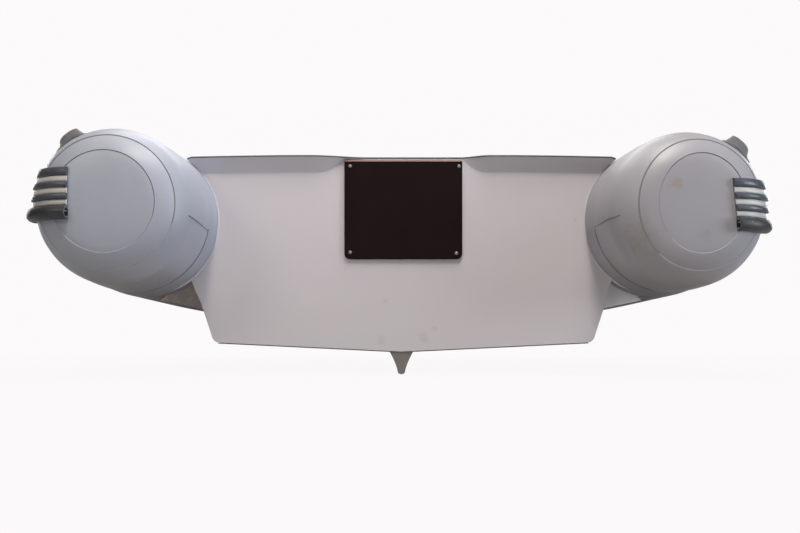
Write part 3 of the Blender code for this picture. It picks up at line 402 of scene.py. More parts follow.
def makeSky():
    world = scene.world = bpy.data.worlds.new("sky")
    world.use_nodes = True
    tree = world.node_tree
    height = addNode(tree, "SeparateXYZ", {0: addNode(tree, "TexCoord").outputs["Generated"]}).outputs["Z"]
    above = mixColour(tree, rangeOf(tree, height, 0.0, 0.8), stageSetup["skyLevel"], stageSetup["skyTop"])
    lit = mixColour(tree, rangeOf(tree, height, 0.0, -0.3), above, stageSetup["skyLow"])
    power = addNode(tree, "VectorMath", {0: lit, "Scale": stageSetup["skyPower"]}, operation="SCALE").outputs[0]
    seen = addNode(tree, "LightPath").outputs["Is Camera Ray"]
    join(tree, mixColour(tree, seen, power, stageSetup["white"]), tree.nodes["Background"].inputs["Color"])


makeFloor()
makeSky()
print("floor and sky made")


# Mesh helpers
twoSides = (("starboard", 1), ("port", -1))


def smoothStep(value):
    value = min(max(value, 0.0), 1.0)
    return value * value * (3 - 2 * value)


def readOff(value, points):
    for (low, first), (high, second) in zip(points, points[1:]):
        if value <= high:
            return first + (second - first) * (value - low) / (high - low)
    return points[-1][1]


def pick(look, keys):
    return [look[key] for key in keys.split()]


def turns(count):
    return [2 * pi * i / count for i in range(count)]


def circle(centre, first, second, count):
    # points round a centre, on two arms at right angles
    return [centre + first * cos(turn) + second * sin(turn) for turn in turns(count)]


def mirrored(ring):
    return [Vector((-p.x, p.y, p.z)) for p in ring]


def bothSides(half):
    # a half ring made whole, without its centreline points twice
    return half + mirrored(reversed(half[1:-1]))


def smoothed(mesh, angle):
    mesh.shade_smooth()
    mesh.set_sharp_from_angle(angle=radians(angle))
    return mesh


def finishMesh(mesh, smoothAngle):
    body = bmesh.new()
    body.from_mesh(mesh)
    bmesh.ops.recalc_face_normals(body, faces=body.faces)
    if body.calc_volume(signed=True) < 0:
        bmesh.ops.reverse_faces(body, faces=body.faces)
    body.to_mesh(mesh)
    body.free()
    return smoothed(mesh, smoothAngle)


def loftMesh(rings, smoothAngle=30.0, capped=True, slotOf=None):
    # a closed skin over closed rings, with texture coordinates in metres
    count, last = len(rings[0]), len(rings) - 1
    verts = [tuple(point) for ring in rings for point in ring]
    across, along = [0.0], [0.0]
    middle = rings[len(rings) // 2]
    for i in range(count):
        across.append(across[-1] + (Vector(middle[(i + 1) % count]) - Vector(middle[i])).length)
    for before, after in zip(rings, rings[1:]):
        along.append(along[-1] + max((Vector(after[i]) - Vector(before[i])).length for i in (0, count // 2)))
    faces, flat, slots = [], [], []
    for r in range(last):
        for i in range(count):
            j = (i + 1) % count
            faces.append((r * count + i, r * count + j, (r + 1) * count + j, (r + 1) * count + i))
            flat += [(along[r], across[i]), (along[r], across[i + 1]),
                     (along[r + 1], across[i + 1]), (along[r + 1], across[i])]
            slots.append(slotOf(r, i) if slotOf else 0)
    for start in (0, last * count) if capped else ():
        faces.append(tuple(range(start, start + count)))
        flat += [(verts[k][0], verts[k][2]) for k in range(start, start + count)]
        slots.append(0)
    mesh = bpy.data.meshes.new("loft")
    mesh.from_pydata(verts, [], faces)
    layer = mesh.uv_layers.new(name="UVMap")
    for loop, place in zip(layer.data, flat):
        loop.uv = place
    mesh.polygons.foreach_set("material_index", slots)
    return finishMesh(mesh, smoothAngle)


def joined(meshes, smoothAngle=30.0):
    body = bmesh.new()
    for mesh in meshes:
        body.from_mesh(mesh)
        bpy.data.meshes.remove(mesh)
    return smoothed(meshOf("joined", body), smoothAngle)


def addPiece(name, mesh, finishNames, standsFor=None, body="boat"):
    mesh.name = name
    for finishName in finishNames.split():
        mesh.materials.append(finishes[finishName])
    piece = newObject(name, mesh)
    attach(piece, body)
    if standsFor:
        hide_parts(standsFor)


def bevelled(mesh, width, segments=2, angle=35.0):
    piece = newObject("work", mesh)
    modifier = piece.modifiers.new("bevel", "BEVEL")
    modifier.width, modifier.segments = width, segments
    modifier.limit_method, modifier.angle_limit = "ANGLE", radians(angle)
    bpy.context.view_layer.update()
    result = bpy.data.meshes.new_from_object(piece.evaluated_get(bpy.context.evaluated_depsgraph_get()))
    bpy.data.objects.remove(piece)
    bpy.data.meshes.remove(mesh)
    return result


def roundedBox(low, high, width, segments=2):
    body = bmesh.new()
    bmesh.ops.create_cube(body, size=1.0)
    bmesh.ops.scale(body, vec=Vector(high) - Vector(low), verts=body.verts)
    bmesh.ops.translate(body, vec=(Vector(high) + Vector(low)) / 2, verts=body.verts)
    mesh = meshOf("box", body)
    mesh.uv_layers.new(name="UVMap")
    return finishMesh(bevelled(mesh, width, segments), 40.0)


def turnedMesh(profile, sides, place, axis):
    # profile of (radius, height) round an axis that starts at a place, closed at both ends
    mesh = loftMesh([circle(Vector((0, 0, z)), Vector((r, 0, 0)), Vector((0, r, 0)), sides) for r, z in profile], 35.0)
    turn = Vector((0, 0, 1)).rotation_difference(Vector(axis)).to_matrix().to_4x4()
    mesh.transform(Matrix.Translation(place) @ turn)
    return mesh


def screwHead(place, axis, radius):
    # a round pan head with a recess in it
    return turnedMesh([(radius, -0.0004), (radius, 0.0006), (radius * 0.93, 0.0014), (radius * 0.72, 0.0022),
                       (radius * 0.42, 0.0026), (radius * 0.36, 0.0016), (radius * 0.10, 0.0014)], 20, place, axis)


def rodMesh(start, end, radius, edge=0.0005):
    along = Vector(end) - Vector(start)
    profile = [(radius - edge, 0.0), (radius, edge), (radius, along.length - edge), (radius - edge, along.length)]
    return turnedMesh(profile, 24, start, along)


# The tubes' path: 0 at the transom to starboard, 1 where the bow curve begins, 2 at the stem, 4 at the transom to port
tubes = {
    "out": 0.679, "outMax": 0.690, "height": 0.197, "flareStart": 0.10, "bowStart": 1.52, "bowLength": 1.80,
    "sheerStart": 0.90, "sheerRise": 0.26, "sheerPower": 2.2,
    "radiusStern": 0.1975, "radiusMid": 0.203, "radiusBow": 0.185, "radiusGrowth": 0.90,
    "capSeam": 0.0765, "capSeamRadius": 0.191, "chamberJoint": 1.25, "jointGap": 0.00008,
    "panelSeams": (0.56, 1.0, 1.25, 1.5, 1.75, 2.0, 2.25, 2.5, 2.75, 3.0, 3.44),
    "puff": 0.0026, "wrinkle": 0.0007,
}
capProfile = [(0.0, 0.2900), (0.060, 0.2890), (0.095, 0.2865), (0.115, 0.2830), (0.135, 0.2745), (0.1546, 0.2600),
              (0.170, 0.2425), (0.180, 0.2220), (0.1855, 0.1900), (0.191, 0.0765)]      # radius, distance aft
bowStart, bowLength, capSeam = tubes["bowStart"], tubes["bowLength"], tubes["capSeam"]
aftEnd = -capSeam / bowStart


def curveThrough(points, steps, lastSteps):
    # a smooth curve through points, with so many steps in each span and in the last
    padded = [Vector(point) for point in (points[0], *points, points[-1])]
    result = []
    for k in range(len(points) - 1):
        a, b, c, d = padded[k:k + 4]
        span = steps if k < len(points) - 2 else lastSteps
        for t in (i / span for i in range(span)):
            result.append(0.5 * (2 * b + (c - a) * t + (2 * a - 5 * b + 4 * c - d) * t * t
                                 + (3 * b - a - 3 * c + d) * t ** 3))
    return result + [Vector(points[-1])]


fineProfile = curveThrough(capProfile, 8, 16)
reachOfRadius = [(point.x, point.y) for point in fineProfile]
radiusOfReach = [(point.y, point.x) for point in reversed(fineProfile)]


def tubeHeight(y):
    share = max(y - tubes["sheerStart"], 0.0) / (bowStart + bowLength - tubes["sheerStart"])
    return tubes["height"] + tubes["sheerRise"] * share ** tubes["sheerPower"]


def tubeRadius(y):
    stern, mid, bow, growth = pick(tubes, "radiusStern radiusMid radiusBow radiusGrowth")
    if y < -capSeam:
        return readOff(-y, radiusOfReach)
    if y < 0:
        return stern + (tubes["capSeamRadius"] - stern) * -y / capSeam
    return (stern + (mid - stern) * smoothStep(y / growth)
            + (bow - mid) * smoothStep((y - bowStart) / bowLength))


def tubeCentre(u):
    side = 1 if u <= 2 else -1
    u = min(u, 4 - u)
    if u <= 1:
        y = u * bowStart
        spread = smoothStep((y - tubes["flareStart"]) / (bowStart - tubes["flareStart"]))
        x = tubes["out"] + (tubes["outMax"] - tubes["out"]) * spread
    else:
        angle = (u - 1) * pi / 2
        x = tubes["outMax"] * cos(angle)
        y = bowStart + bowLength * sin(angle)
    return Vector((side * x, y, tubeHeight(y)))


def tubeFrame(u):
    step = 0.002
    along = (tubeCentre(u + step) - tubeCentre(u - step)).normalized()
    outboard = along.cross(Vector((0, 0, 1))).normalized()
    return tubeCentre(u), outboard, outboard.cross(along)


def metresPerStep(u):
    return (tubeCentre(u + 0.01) - tubeCentre(u - 0.01)).length / 0.02


def pathValue(y):
    return y / bowStart if y <= bowStart else 1 + asin((y - bowStart) / bowLength) * 2 / pi


def skinSwell(u, angle):
    # the fabric swells between its panel seams and draws into small folds where the bow bends
    if u < 0.02 or u > 3.98:
        return 0.0
    seams = (0.0,) + tubes["panelSeams"] + (4.0,)
    low = max(seam for seam in seams if seam <= u)
    high = min(seam for seam in seams if seam > u)
    near = min(u - low, high - u) * metresPerStep(u)
    inboard = max(-cos(angle), 0.0) * smoothStep((min(u, 4 - u) - 0.8) / 0.3)
    fold = sin(angle * 17 + low * 9) * exp(-(near / 0.05) ** 2) * inboard
    return tubes["puff"] * sin(pi * (u - low) / (high - low)) ** 0.8 + tubes["wrinkle"] * fold


def skinPoint(u, angle, raised=0.0):
    centre, outboard, up = tubeFrame(u)
    radius = tubeRadius(centre.y) + skinSwell(u, angle) + raised
    return centre + outboard * (radius * cos(angle)) + up * (radius * sin(angle))


def pathSteps(start, end, size=0.028):
    # path values at even distances of about that size, with the panel seams among them
    marks = [start] + [seam for seam in tubes["panelSeams"] if start < seam < end] + [end]
    values = [start]
    for low, high in zip(marks, marks[1:]):
        count = max(round((high - low) * metresPerStep((low + high) / 2) / size), 2)
        values += [low + (high - low) * (i + 1) / count for i in range(count)]
    return values


# The starboard stern cap points a little lower and further inboard than the port one
capSag = {"share": ((0.0, 0.0), (0.0765, 0.0), (0.190, 0.75), (0.222, 0.92), (0.2425, 1.0), (1.0, 1.0)),
          "inboard": 0.011, "down": 0.0097}


def settled(mesh, place):
    for vert in mesh.vertices if "starboard" in place else ():
        share = readOff(-vert.co.y, capSag["share"])
        vert.co.x -= capSag["inboard"] * share
        vert.co.z -= capSag["down"] * share
    return mesh


# Tube skins, one for each air chamber
skinLook = {"sides": 112, "endRound": 0.0009}
chamberEnd = tubes["chamberJoint"] - tubes["jointGap"]
chamberStart = tubes["chamberJoint"] + tubes["jointGap"]


def tubeSkin(place, start, end):
    values = pathSteps(start, end)
    rings = []
    for i, u in enumerate(values):
        inset = -skinLook["endRound"] if i in (0, len(values) - 1) else 0.0
        rings.append([skinPoint(u, angle, inset) for angle in turns(skinLook["sides"])])
    addPiece("tube_skin_" + place, loftMesh(rings), "tubeFabric", "tube_" + place)


tubeSkin("starboard", aftEnd, chamberEnd)
tubeSkin("bow", chamberStart, 4 - chamberStart)
tubeSkin("port", 4 - chamberEnd, 4 - aftEnd)
print("tube skins made")


# Seam tapes and strips that are glued on the skins
tapeLook = {"jointWidth": 0.075, "panelWidth": 0.030, "height": 0.0010, "steps": 72, "stripHeight": 0.0011,
            "strips": (("bond_strip_inside", 198.0, 0.034), ("bond_strip_outside", 265.0, 0.036),
                       ("lengthwise_seam", 292.0, 0.026))}


def stripSection(width, height):
    half, deep = width / 2, 0.0006
    edge = min(height * 1.6, half * 0.4)
    return [(-half, -deep), (-half, height * 0.15), (-half + edge * 0.4, height * 0.75), (-half + edge, height),
            (0.0, height), (half - edge, height), (half - edge * 0.4, height * 0.75), (half, height * 0.15),
            (half, -deep), (0.0, -deep)]


def stripOnSkin(path, width, height):
    # path of (path value, angle); the strip keeps its width in metres on the curved skin
    rings = []
    for i, (u, angle) in enumerate(path):
        beforeU, beforeAngle = path[max(i - 1, 0)]
        afterU, afterAngle = path[min(i + 1, len(path) - 1)]
        perStep = metresPerStep(u)
        radius = tubeRadius(tubeCentre(u).y)
        way = Vector(((afterU - beforeU) * perStep, (afterAngle - beforeAngle) * radius)).normalized()
        rings.append([skinPoint(u - way.y * across / perStep, angle + way.x * across / radius, raised)
                      for across, raised in stripSection(width, height)])
    return loftMesh(rings)


def tapeRound(u, width):
    section = stripSection(width, tapeLook["height"])
    perStep = metresPerStep(u)
    rings = [[skinPoint(u + across / perStep, angle, raised) for across, raised in section]
             for angle in turns(tapeLook["steps"])]
    mesh = loftMesh(rings + rings[:1], capped=False)
    body = bmesh.new()
    body.from_mesh(mesh)
    bmesh.ops.remove_doubles(body, verts=body.verts, dist=0.00001)
    body.to_mesh(mesh)
    body.free()
    return mesh


def makeTapes():
    joint = tubes["chamberJoint"]
    for place, low, high in (("starboard", 0, joint), ("bow", joint, 4 - joint), ("port", 4 - joint, 4)):
        tapes = []
        for seam in tubes["panelSeams"]:
            if low < seam < high or place == "bow" and seam in (low, high):
                tapes.append(tapeRound(seam, tapeLook["jointWidth" if seam in (joint, 4 - joint) else "panelWidth"]))
        addPiece("seam_tapes_" + place, joined(tapes), "seamTape")
    values = pathSteps(0.032, 3.968, 0.045)
    for name, degrees, width in tapeLook["strips"]:
        strip = stripOnSkin([(u, radians(degrees)) for u in values], width, tapeLook["stripHeight"])
        addPiece(name, strip, "seamTape")


makeTapes()
print("seam tapes made")


# Stern caps: a disc, a ring that overlaps it and a shoulder that overlaps the ring
capLook = {
    "sides": 144, "inner": 0.1156, "outer": 0.1550, "stepWidth": 0.0015, "stepHigh": 0.0017, "fade": 0.022,
    "lipFrom": 0.1855, "lipWide": 0.004, "lipHigh": 0.0014, "panelEdge": (190.0, 258.0),
    "seamSize": (0.0027, 0.0026), "edgeShadowSize": (0.0064, 0.0029),
    # each ring seam's middle, out and up from the cap's own, and its half width and half height
    "port": {"innerRing": (0.0, 0.0, 0.1156, 0.1156), "outerRing": (0.0, 0.0, 0.1550, 0.1550), "seamAft": -0.224,
             "seamAngles": (191.2, 187.5), "darkSeam": (30, 196)},
    "starboard": {"innerRing": (0.0116, 0.0054, 0.0986, 0.1134), "outerRing": (0.0123, 0.0047, 0.1408, 0.1500),
                  "seamAft": -0.250, "seamAngles": (188.6, 186.0), "darkSeam": (25, 232)},
}


def capRows():
    # radii in a plain cap, close together at the two steps
    inner, outer, step = capLook["inner"], capLook["outer"], capLook["stepWidth"]
    rows = [0.004 + (inner - 0.006) * i / 22 for i in range(22)]
    rows += [inner - 0.0012, inner, inner + step * 0.5, inner + step, inner + step + 0.0012]
    rows += [inner + 0.005 + (outer - inner - 0.008) * i / 10 for i in range(10)]
    rows += [outer - 0.0012, outer, outer + step * 0.5, outer + step, outer + step + 0.0012]
    return rows + [point.x for point in fineProfile if point.x > outer + 0.004]


def capRaise(radius):
    raised = capLook["lipHigh"] * smoothStep((radius - capLook["lipFrom"]) / capLook["lipWide"])
    for seam in (capLook["inner"], capLook["outer"]):
        if radius > seam:
            rise = smoothStep((radius - seam) / capLook["stepWidth"])
            raised += capLook["stepHigh"] * rise * exp(-(radius - seam) / capLook["fade"])
    return raised


def profileNormal(radius):
    low = readOff(max(radius - 0.0015, 0.0), reachOfRadius)
    high = readOff(min(radius + 0.0015, tubes["capSeamRadius"]), reachOfRadius)
    return Vector((low - high, 0.003)).normalized()


def ringRadius(ring, angle):
    # how far out an oval ring seam lies in a direction from the cap's middle
    out, up, wide, high = ring
    c, s = cos(angle), sin(angle)
    a = c * c / wide ** 2 + s * s / high ** 2
    b = -2 * (c * out / wide ** 2 + s * up / high ** 2)
    rest = out * out / wide ** 2 + up * up / high ** 2 - 1
    return (-b + sqrt(b * b - 4 * a * rest)) / (2 * a)


def capRadius(plain, look, angle):
    return readOff(plain, ((0.0, 0.0), (capLook["inner"], ringRadius(look["innerRing"], angle)),
                           (capLook["outer"], ringRadius(look["outerRing"], angle)), (0.1785, 0.1785), (0.2, 0.2)))


def sternCap(name, side):
    look = capLook[name]
    centre = Vector((side * tubes["out"], 0.0, tubes["height"]))
    rows = capRows()
    rings = []
    for plain in rows:
        ring = []
        raised = capRaise(plain)
        for angle in turns(capLook["sides"]):
            radius = capRadius(plain, look, angle)
            outward, aft = profileNormal(radius)
            spread = radius + outward * raised
            reach = readOff(radius, reachOfRadius) + aft * raised
            ring.append(centre + Vector((side * spread * cos(angle), -reach, spread * sin(angle))))
        rings.append(ring)
    rings.append([centre + Vector((p.x - centre.x, 0, p.z - centre.z)) * 0.985 - Vector((0, capSeam + 0.0004, 0))
                  for p in rings[-1]])
    innerStep, outerStep = (rows.index(seam) for seam in pick(capLook, "inner outer"))
    shadeFrom, shadeTo = look["darkSeam"]

    # the seam steps are painted shade: darkest finish over the arc where the step faces down, a fainter one either side
    # of it and on the rest of the inner step, the plain step finish below
    def slotOf(r, i):
        if r not in (innerStep, innerStep + 1, outerStep, outerStep + 1):
            return 0
        degrees = 360 * i / capLook["sides"]
        if shadeFrom <= degrees <= shadeTo:
            return 1
        return 2 if r <= innerStep + 1 or shadeFrom - 20 < degrees < shadeTo + 30 else 3

    addPiece("stern_cap_" + name, settled(loftMesh(rings, 24.0, slotOf=slotOf), name),
             "capFabric seamEdge seamFaint seamStep", "stern_cone_" + name)


def capSeamAndShadow(name, side):
    # the lengthwise seam on the inboard side as a thin dark lip, and a thin dark lip along the edge of the lower panel
    # that is painted shadow under that fabric edge
    aft = capLook[name]["seamAft"] / bowStart
    first, last = capLook[name]["seamAngles"]
    low, high = capLook["panelEdge"]
    seam = [(aftEnd + (aft - aftEnd) * i / 14, first + (last - first) * i / 14) for i in range(15)]
    edge = [(aftEnd - 0.0010, low + (high - low) * i / 24) for i in range(25)]
    strips = []
    for path, size in ((seam, capLook["seamSize"]), (edge, capLook["edgeShadowSize"])):
        strips.append(stripOnSkin([(4 - u if side < 0 else u, radians(degrees)) for u, degrees in path], *size))
    addPiece("cap_seam_and_shadow_" + name, settled(joined(strips), name), "seamEdge")


for sideName, sideSign in twoSides:
    sternCap(sideName, sideSign)
    capSeamAndShadow(sideName, sideSign)
print("stern caps made")


# Rubbing strake: dark rounded ribs with light bands between them, and a hollow bead below
strakeLook = {
    "ribs": ((0.0140, 0.0280), (0.0412, 0.0550), (0.0680, 0.0880)),
    "bands": ((0.0022, 0.0136), (0.0284, 0.0408), (0.0554, 0.0676)),
    "skin": 0.0035, "rib": 0.0100, "band": 0.0058, "low": 0.001, "high": 0.088, "sunk": 0.0006,
    "end": 0.078, "drop": 0.012, "dropStart": 0.12, "lift": 0.0008, "faceFrom": 0.150,
    "lower": 0.016, "lowerFrom": 0.60, "slant": 0.10,       # the starboard strake lies lower at the stern
    "flatter": 0.26, "flatFrom": 0.16, "flatOver": 0.28,
    "beadRadius": 0.0157, "beadHeight": -0.0150, "beadRaised": 0.0058, "beadSides": 24, "bore": 0.0094,
    "boreDepth": 0.030, "webUp": 0.0035, "webHalf": (0.0011, 0.0102), "stationSize": 0.035,
}


def strakeStations(path, lowered=False):
    # each station turns (height, raised) into a point: first on the cap's face, then its shoulder, then the tube
    look = strakeLook
    centre = Vector((tubes["out"], 0.0, tubes["height"]))
    lower, slant = (look["lower"], look["slant"]) if lowered else (0.0, 0.0)
    deepest = readOff(look["end"], reachOfRadius)

    def flatAt(y):
        return 1 - look["flatter"] * smoothStep((y + look["flatFrom"]) / look["flatOver"])

    def onCap(x, z, radius, reach, away):
        outward, aft = profileNormal(radius)
        out = Vector((x, 0, z)) / radius * outward - Vector((0, aft, 0))
        return centre + Vector((x, -reach, z)) + out * (away + look["lift"])

    def faceStation(share):
        def place(height, raised):
            start = look["end"] - slant * (height - look["high"])
            height -= look["drop"] + lower
            full = sqrt(look["faceFrom"] ** 2 - height ** 2)
            x = start + (full - start) * share
            radius = sqrt(x * x + height * height)
            return onCap(x, height, radius, readOff(radius, reachOfRadius), raised)
        return place

    def shoulderStation(radius, reach):
        share = (reach - look["dropStart"]) / (deepest - look["dropStart"])
        drop = lower + look["drop"] * smoothStep(share)

        def place(height, raised):
            height -= drop
            return onCap(sqrt(radius * radius - height * height), height, radius, reach, raised * flatAt(-reach))
        return place

    def tubeStation(u):
        y = tubeCentre(u).y
        radius = tubeRadius(y)
        down = lower * smoothStep((look["lowerFrom"] - y) / look["lowerFrom"])
        return lambda height, raised: skinPoint(u, asin((height - down) / radius), raised * flatAt(y))

    stations = []
    if path[0] < 0:
        stations = [faceStation(i / 8) for i in range(9)]
        stations += [shoulderStation(p.x, p.y) for p in fineProfile if p.x > look["faceFrom"] + 0.003]
        path = [u for u in path if u > path[0] + 0.004]
    return stations + [tubeStation(u) for u in path]


def roundedRun(low, high, base, top, steps):
    # a rounded rib's outline from its lower edge to its upper edge
    spread = [-cos(pi * i / steps) for i in range(steps + 1)]
    return [((low + high) / 2 + (high - low) / 2 * t, base + (top - base) * (1 - abs(t) ** 3.2) ** 0.5) for t in spread]


def darkSection():
    look = strakeLook
    section = [(look["high"] - i * 0.0218, -look["sunk"]) for i in range(4)]
    section += [(look["low"], -look["sunk"]), (look["low"], look["skin"])]
    for low, high in look["ribs"]:
        section += roundedRun(low, high, look["skin"], look["rib"], 8)
    return section


def bandSection(low, high):
    skin = strakeLook["skin"]
    return [(high, skin - 0.0015), (low, skin - 0.0015)] + roundedRun(low, high, skin + 0.0008, strakeLook["band"], 6)


def beadSection(radius, lowest=-1.0):
    section = []
    for i in range(strakeLook["beadSides"]):
        angle = 2 * pi * (i + 0.5) / strakeLook["beadSides"]
        section.append((strakeLook["beadHeight"] + radius * sin(angle),
                        max(strakeLook["beadRaised"] + radius * cos(angle), lowest)))
    return section


def strakeRun(place, path):
    look = strakeLook
    stations = strakeStations(path, place == "starboard")
    isOpen = place != "bow"

    def ringAt(station, section, inboard=0.0):
        ring = [station(height, raised) + Vector((inboard, 0, 0)) for height, raised in section]
        return mirrored(ring) if place == "port" else ring

    def run(section):
        return [ringAt(station, section) for station in stations]

    def shaped(rings, slotOf=None):
        return settled(loftMesh(rings, 40.0, slotOf=slotOf), place)

    addPiece("rub_strake_ribs_" + place, shaped(run(darkSection())), "strakeDark",
             "rub_strake_" + place)
    bands = [shaped(run(bandSection(low, high))) for low, high in look["bands"]]
    addPiece("rub_strake_bands_" + place, joined(bands, 40.0), "strakeLight")
    rings = run(beadSection(look["beadRadius"], -look["sunk"]))
    if isOpen:
        # the bore's walls, then its lip and the bead's own soft edge
        ends = ((look["bore"], look["boreDepth"], -1.0), (look["bore"], 0.001, -1.0),
                (look["bore"] + 0.001, -0.0004, -look["sunk"]), (look["beadRadius"] - 0.0012, -0.0006, -look["sunk"]))
        rings = [ringAt(stations[0], beadSection(radius, lowest), inboard) for radius, inboard, lowest in ends] + rings
    # the bore's lip and the bead's cut end take the lighter handle rubber: a painted highlight on the rim
    bead = shaped(rings, lambda r, i: 1 if isOpen and r in (1, 2) else 0)
    addPiece("strake_bead_skin_" + place, bead, "beadRubber handleRubber", "strake_bead_" + place)
    if isOpen:
        middle, (thick, half) = look["beadHeight"] + look["webUp"], look["webHalf"]
        corners = ((-1, -1), (-1, 1), (1, 1), (1, -1))
        web = [(middle + up * thick, look["beadRaised"] + out * half) for up, out in corners]
        rings = [ringAt(stations[0], web, inboard) for inboard in (look["boreDepth"] - 0.002, 0.0025)]
        addPiece("bead_web_" + place, shaped(rings), "seamStep")


sidePath = pathSteps(aftEnd, chamberEnd, strakeLook["stationSize"])
strakeRun("starboard", sidePath)
strakeRun("port", sidePath)
strakeRun("bow", pathSteps(chamberStart, 4 - chamberStart, strakeLook["stationSize"]))
print("rubbing strakes made")


# Transom: a flat plate whose top edge flares aft on both sides of the engine pad
transomLook = {
    "thick": 0.045, "top": 0.3612, "keel": -0.146, "corner": (0.496, -0.122), "cornerRound": 0.013,
    "side": ((-0.122, 0.4985), (0.016, 0.5430), (0.070, 0.5640), (0.200, 0.6000), (0.400, 0.6000)),
    "lean": 0.005, "leanFrom": (0.03, -0.03),          # the photo's lower transom stands a little to starboard
    "lipOut": 0.0245, "lipDeep": 0.0362, "slopeFrom": 0.5465, "slope": 0.35, "droopFrom": 0.27, "droop": 0.0042,
    "depthFade": ((-0.151, -0.212), (0.1605, 0.215)), "outFade": ((-0.085, -0.235), (0.155, 0.230)),
    "tubeGap": 0.0006, "edgeRound": 0.0022, "columns": 96, "lipFrom": 0.27, "widest": 0.52,
    "shadowSteps": 40, "shadowReach": 0.487, "shadowWide": 0.0030, "shadowHigh": 0.0015, "shadowFront": 0.004, "shadowDown": 0.0011,
}


def topEdge(x):
    beyond = max(abs(x) - transomLook["slopeFrom"], 0.0)
    away = max(abs(x) - transomLook["droopFrom"], 0.0) / (transomLook["slopeFrom"] - transomLook["droopFrom"])
    return transomLook["top"] - beyond * transomLook["slope"] - transomLook["droop"] * away ** 1.5


def lipShare(x):
    start, end = transomLook["outFade"][0 if x < 0 else 1]
    return smoothStep((x - start) / (end - start))


def lipDepth(x):
    # deepens fast beside the pad, so its lower edge curves up to the pad's corner
    start, end = transomLook["depthFade"][0 if x < 0 else 1]
    share = min(max((x - start) / (end - start), 0.0), 1.0)
    return transomLook["lipDeep"] * (0.08 + 0.92 * (1 - (1 - share) ** 1.6))


def transomSide(z):
    plain = readOff(z, transomLook["side"])
    radius = tubes["radiusStern"] + transomLook["tubeGap"]
    away = z - tubes["height"]
    if abs(away) < radius:
        plain = min(plain, tubes["out"] - sqrt(radius * radius - away * away))
    above = (z - transomLook["corner"][1]) / transomLook["cornerRound"]
    if above < 1:
        plain -= transomLook["cornerRound"] * 0.9 * (1 - sqrt(max(1 - (1 - above) ** 2, 0.0)))
    return plain


def transomLean(z):
    start, end = transomLook["leanFrom"]
    return transomLook["lean"] * smoothStep((z - start) / (end - start))


def transomBottom(x):
    across = min(abs(x) / transomLook["corner"][0], 1.0)
    return transomLook["keel"] + (transomLook["corner"][1] - transomLook["keel"]) * across


def transomPlace(across, zone, share):
    # zone 0 runs from the bottom to the lip's break, zone 1 from there to the top
    x, z = across * transomLook["widest"], 0.1
    for _ in range(60):
        breakHeight = topEdge(x) - lipDepth(x)
        low, high = (breakHeight, topEdge(x)) if zone else (transomBottom(x), breakHeight)
        z = low + (high - low) * share
        x += (across * transomSide(z) + transomLean(z) - x) * 0.4
    out = transomLook["lipOut"] * lipShare(x) * share * (0.85 + 0.15 * share) if zone else 0.0
    return Vector((x, -out, z))


def makeTransom():
    count = transomLook["columns"]
    half = [i / count for i in range(count)] + [1 - 0.4 / count, 1.0]
    columns = [-s for s in reversed(half[1:])] + half
    lower = [0.0, 0.003, 0.008, 0.016, 0.028] + [0.045 + 0.925 * i / 20 for i in range(21)] + [0.985, 1.0]
    rows = [(0, share) for share in lower] + [(1, share) for share in (0.04, 0.12, 0.25, 0.4, 0.55, 0.7, 0.85, 0.95, 1)]
    body = bmesh.new()
    aft = [[body.verts.new(transomPlace(s, *row)) for s in columns] for row in rows]
    front = [[body.verts.new((v.co.x, transomLook["thick"], v.co.z)) for v in line] for line in aft]
    last, end = len(rows) - 1, len(columns) - 1
    for r in range(last):
        for c in range(end):
            face = body.faces.new((aft[r][c], aft[r][c + 1], aft[r + 1][c + 1], aft[r + 1][c]))
            # the flared lip's faces beyond the pad take the shaded lip finish
            face.material_index = rows[r][0] if abs(columns[c]) > transomLook["lipFrom"] else 0
            body.faces.new((front[r][c], front[r + 1][c], front[r + 1][c + 1], front[r][c + 1]))
    rim = ([(0, c) for c in range(end)] + [(r, end) for r in range(last)] + [(last, c) for c in range(end, 0, -1)]
           + [(r, 0) for r in range(last, 0, -1)])
    for (r, c), (nextR, nextC) in zip(rim, rim[1:] + rim[:1]):
        body.faces.new((aft[r][c], front[r][c], front[nextR][nextC], aft[nextR][nextC]))
    mesh = finishMesh(bevelled(meshOf("transom", body), transomLook["edgeRound"], 3, 62.0), 28.0)
    addPiece("transom_board", mesh, "hullGelcoat lipGelcoat", "transom")


# a thin dark strip just under the transom's lower edge: painted shade where the hull's bottom lies in shadow
def makeBottomShade():
    rings = []
    steps = transomLook["shadowSteps"]
    wide, high = Vector((0, transomLook["shadowWide"], 0)), Vector((0, 0, transomLook["shadowHigh"]))
    for i in range(steps + 1):
        x = transomLook["lean"] + transomLook["shadowReach"] * (2 * i / steps - 1)
        middle = Vector((x, transomLook["shadowFront"], transomBottom(x) - transomLook["shadowDown"]))
        rings.append(circle(middle, wide, high, 10))
    addPiece("transom_bottom_shade", loftMesh(rings, 60.0), "seamEdge")


makeTransom()
makeBottomShade()


# Dark rubber cap strip that is pushed over the transom's top edge
capStrip = {"lift": 0.0004, "thick": 0.0038, "overhang": 0.0012, "round": 0.0018, "lowCut": (0.0006, 0.0008),
            "end": 0.5570}


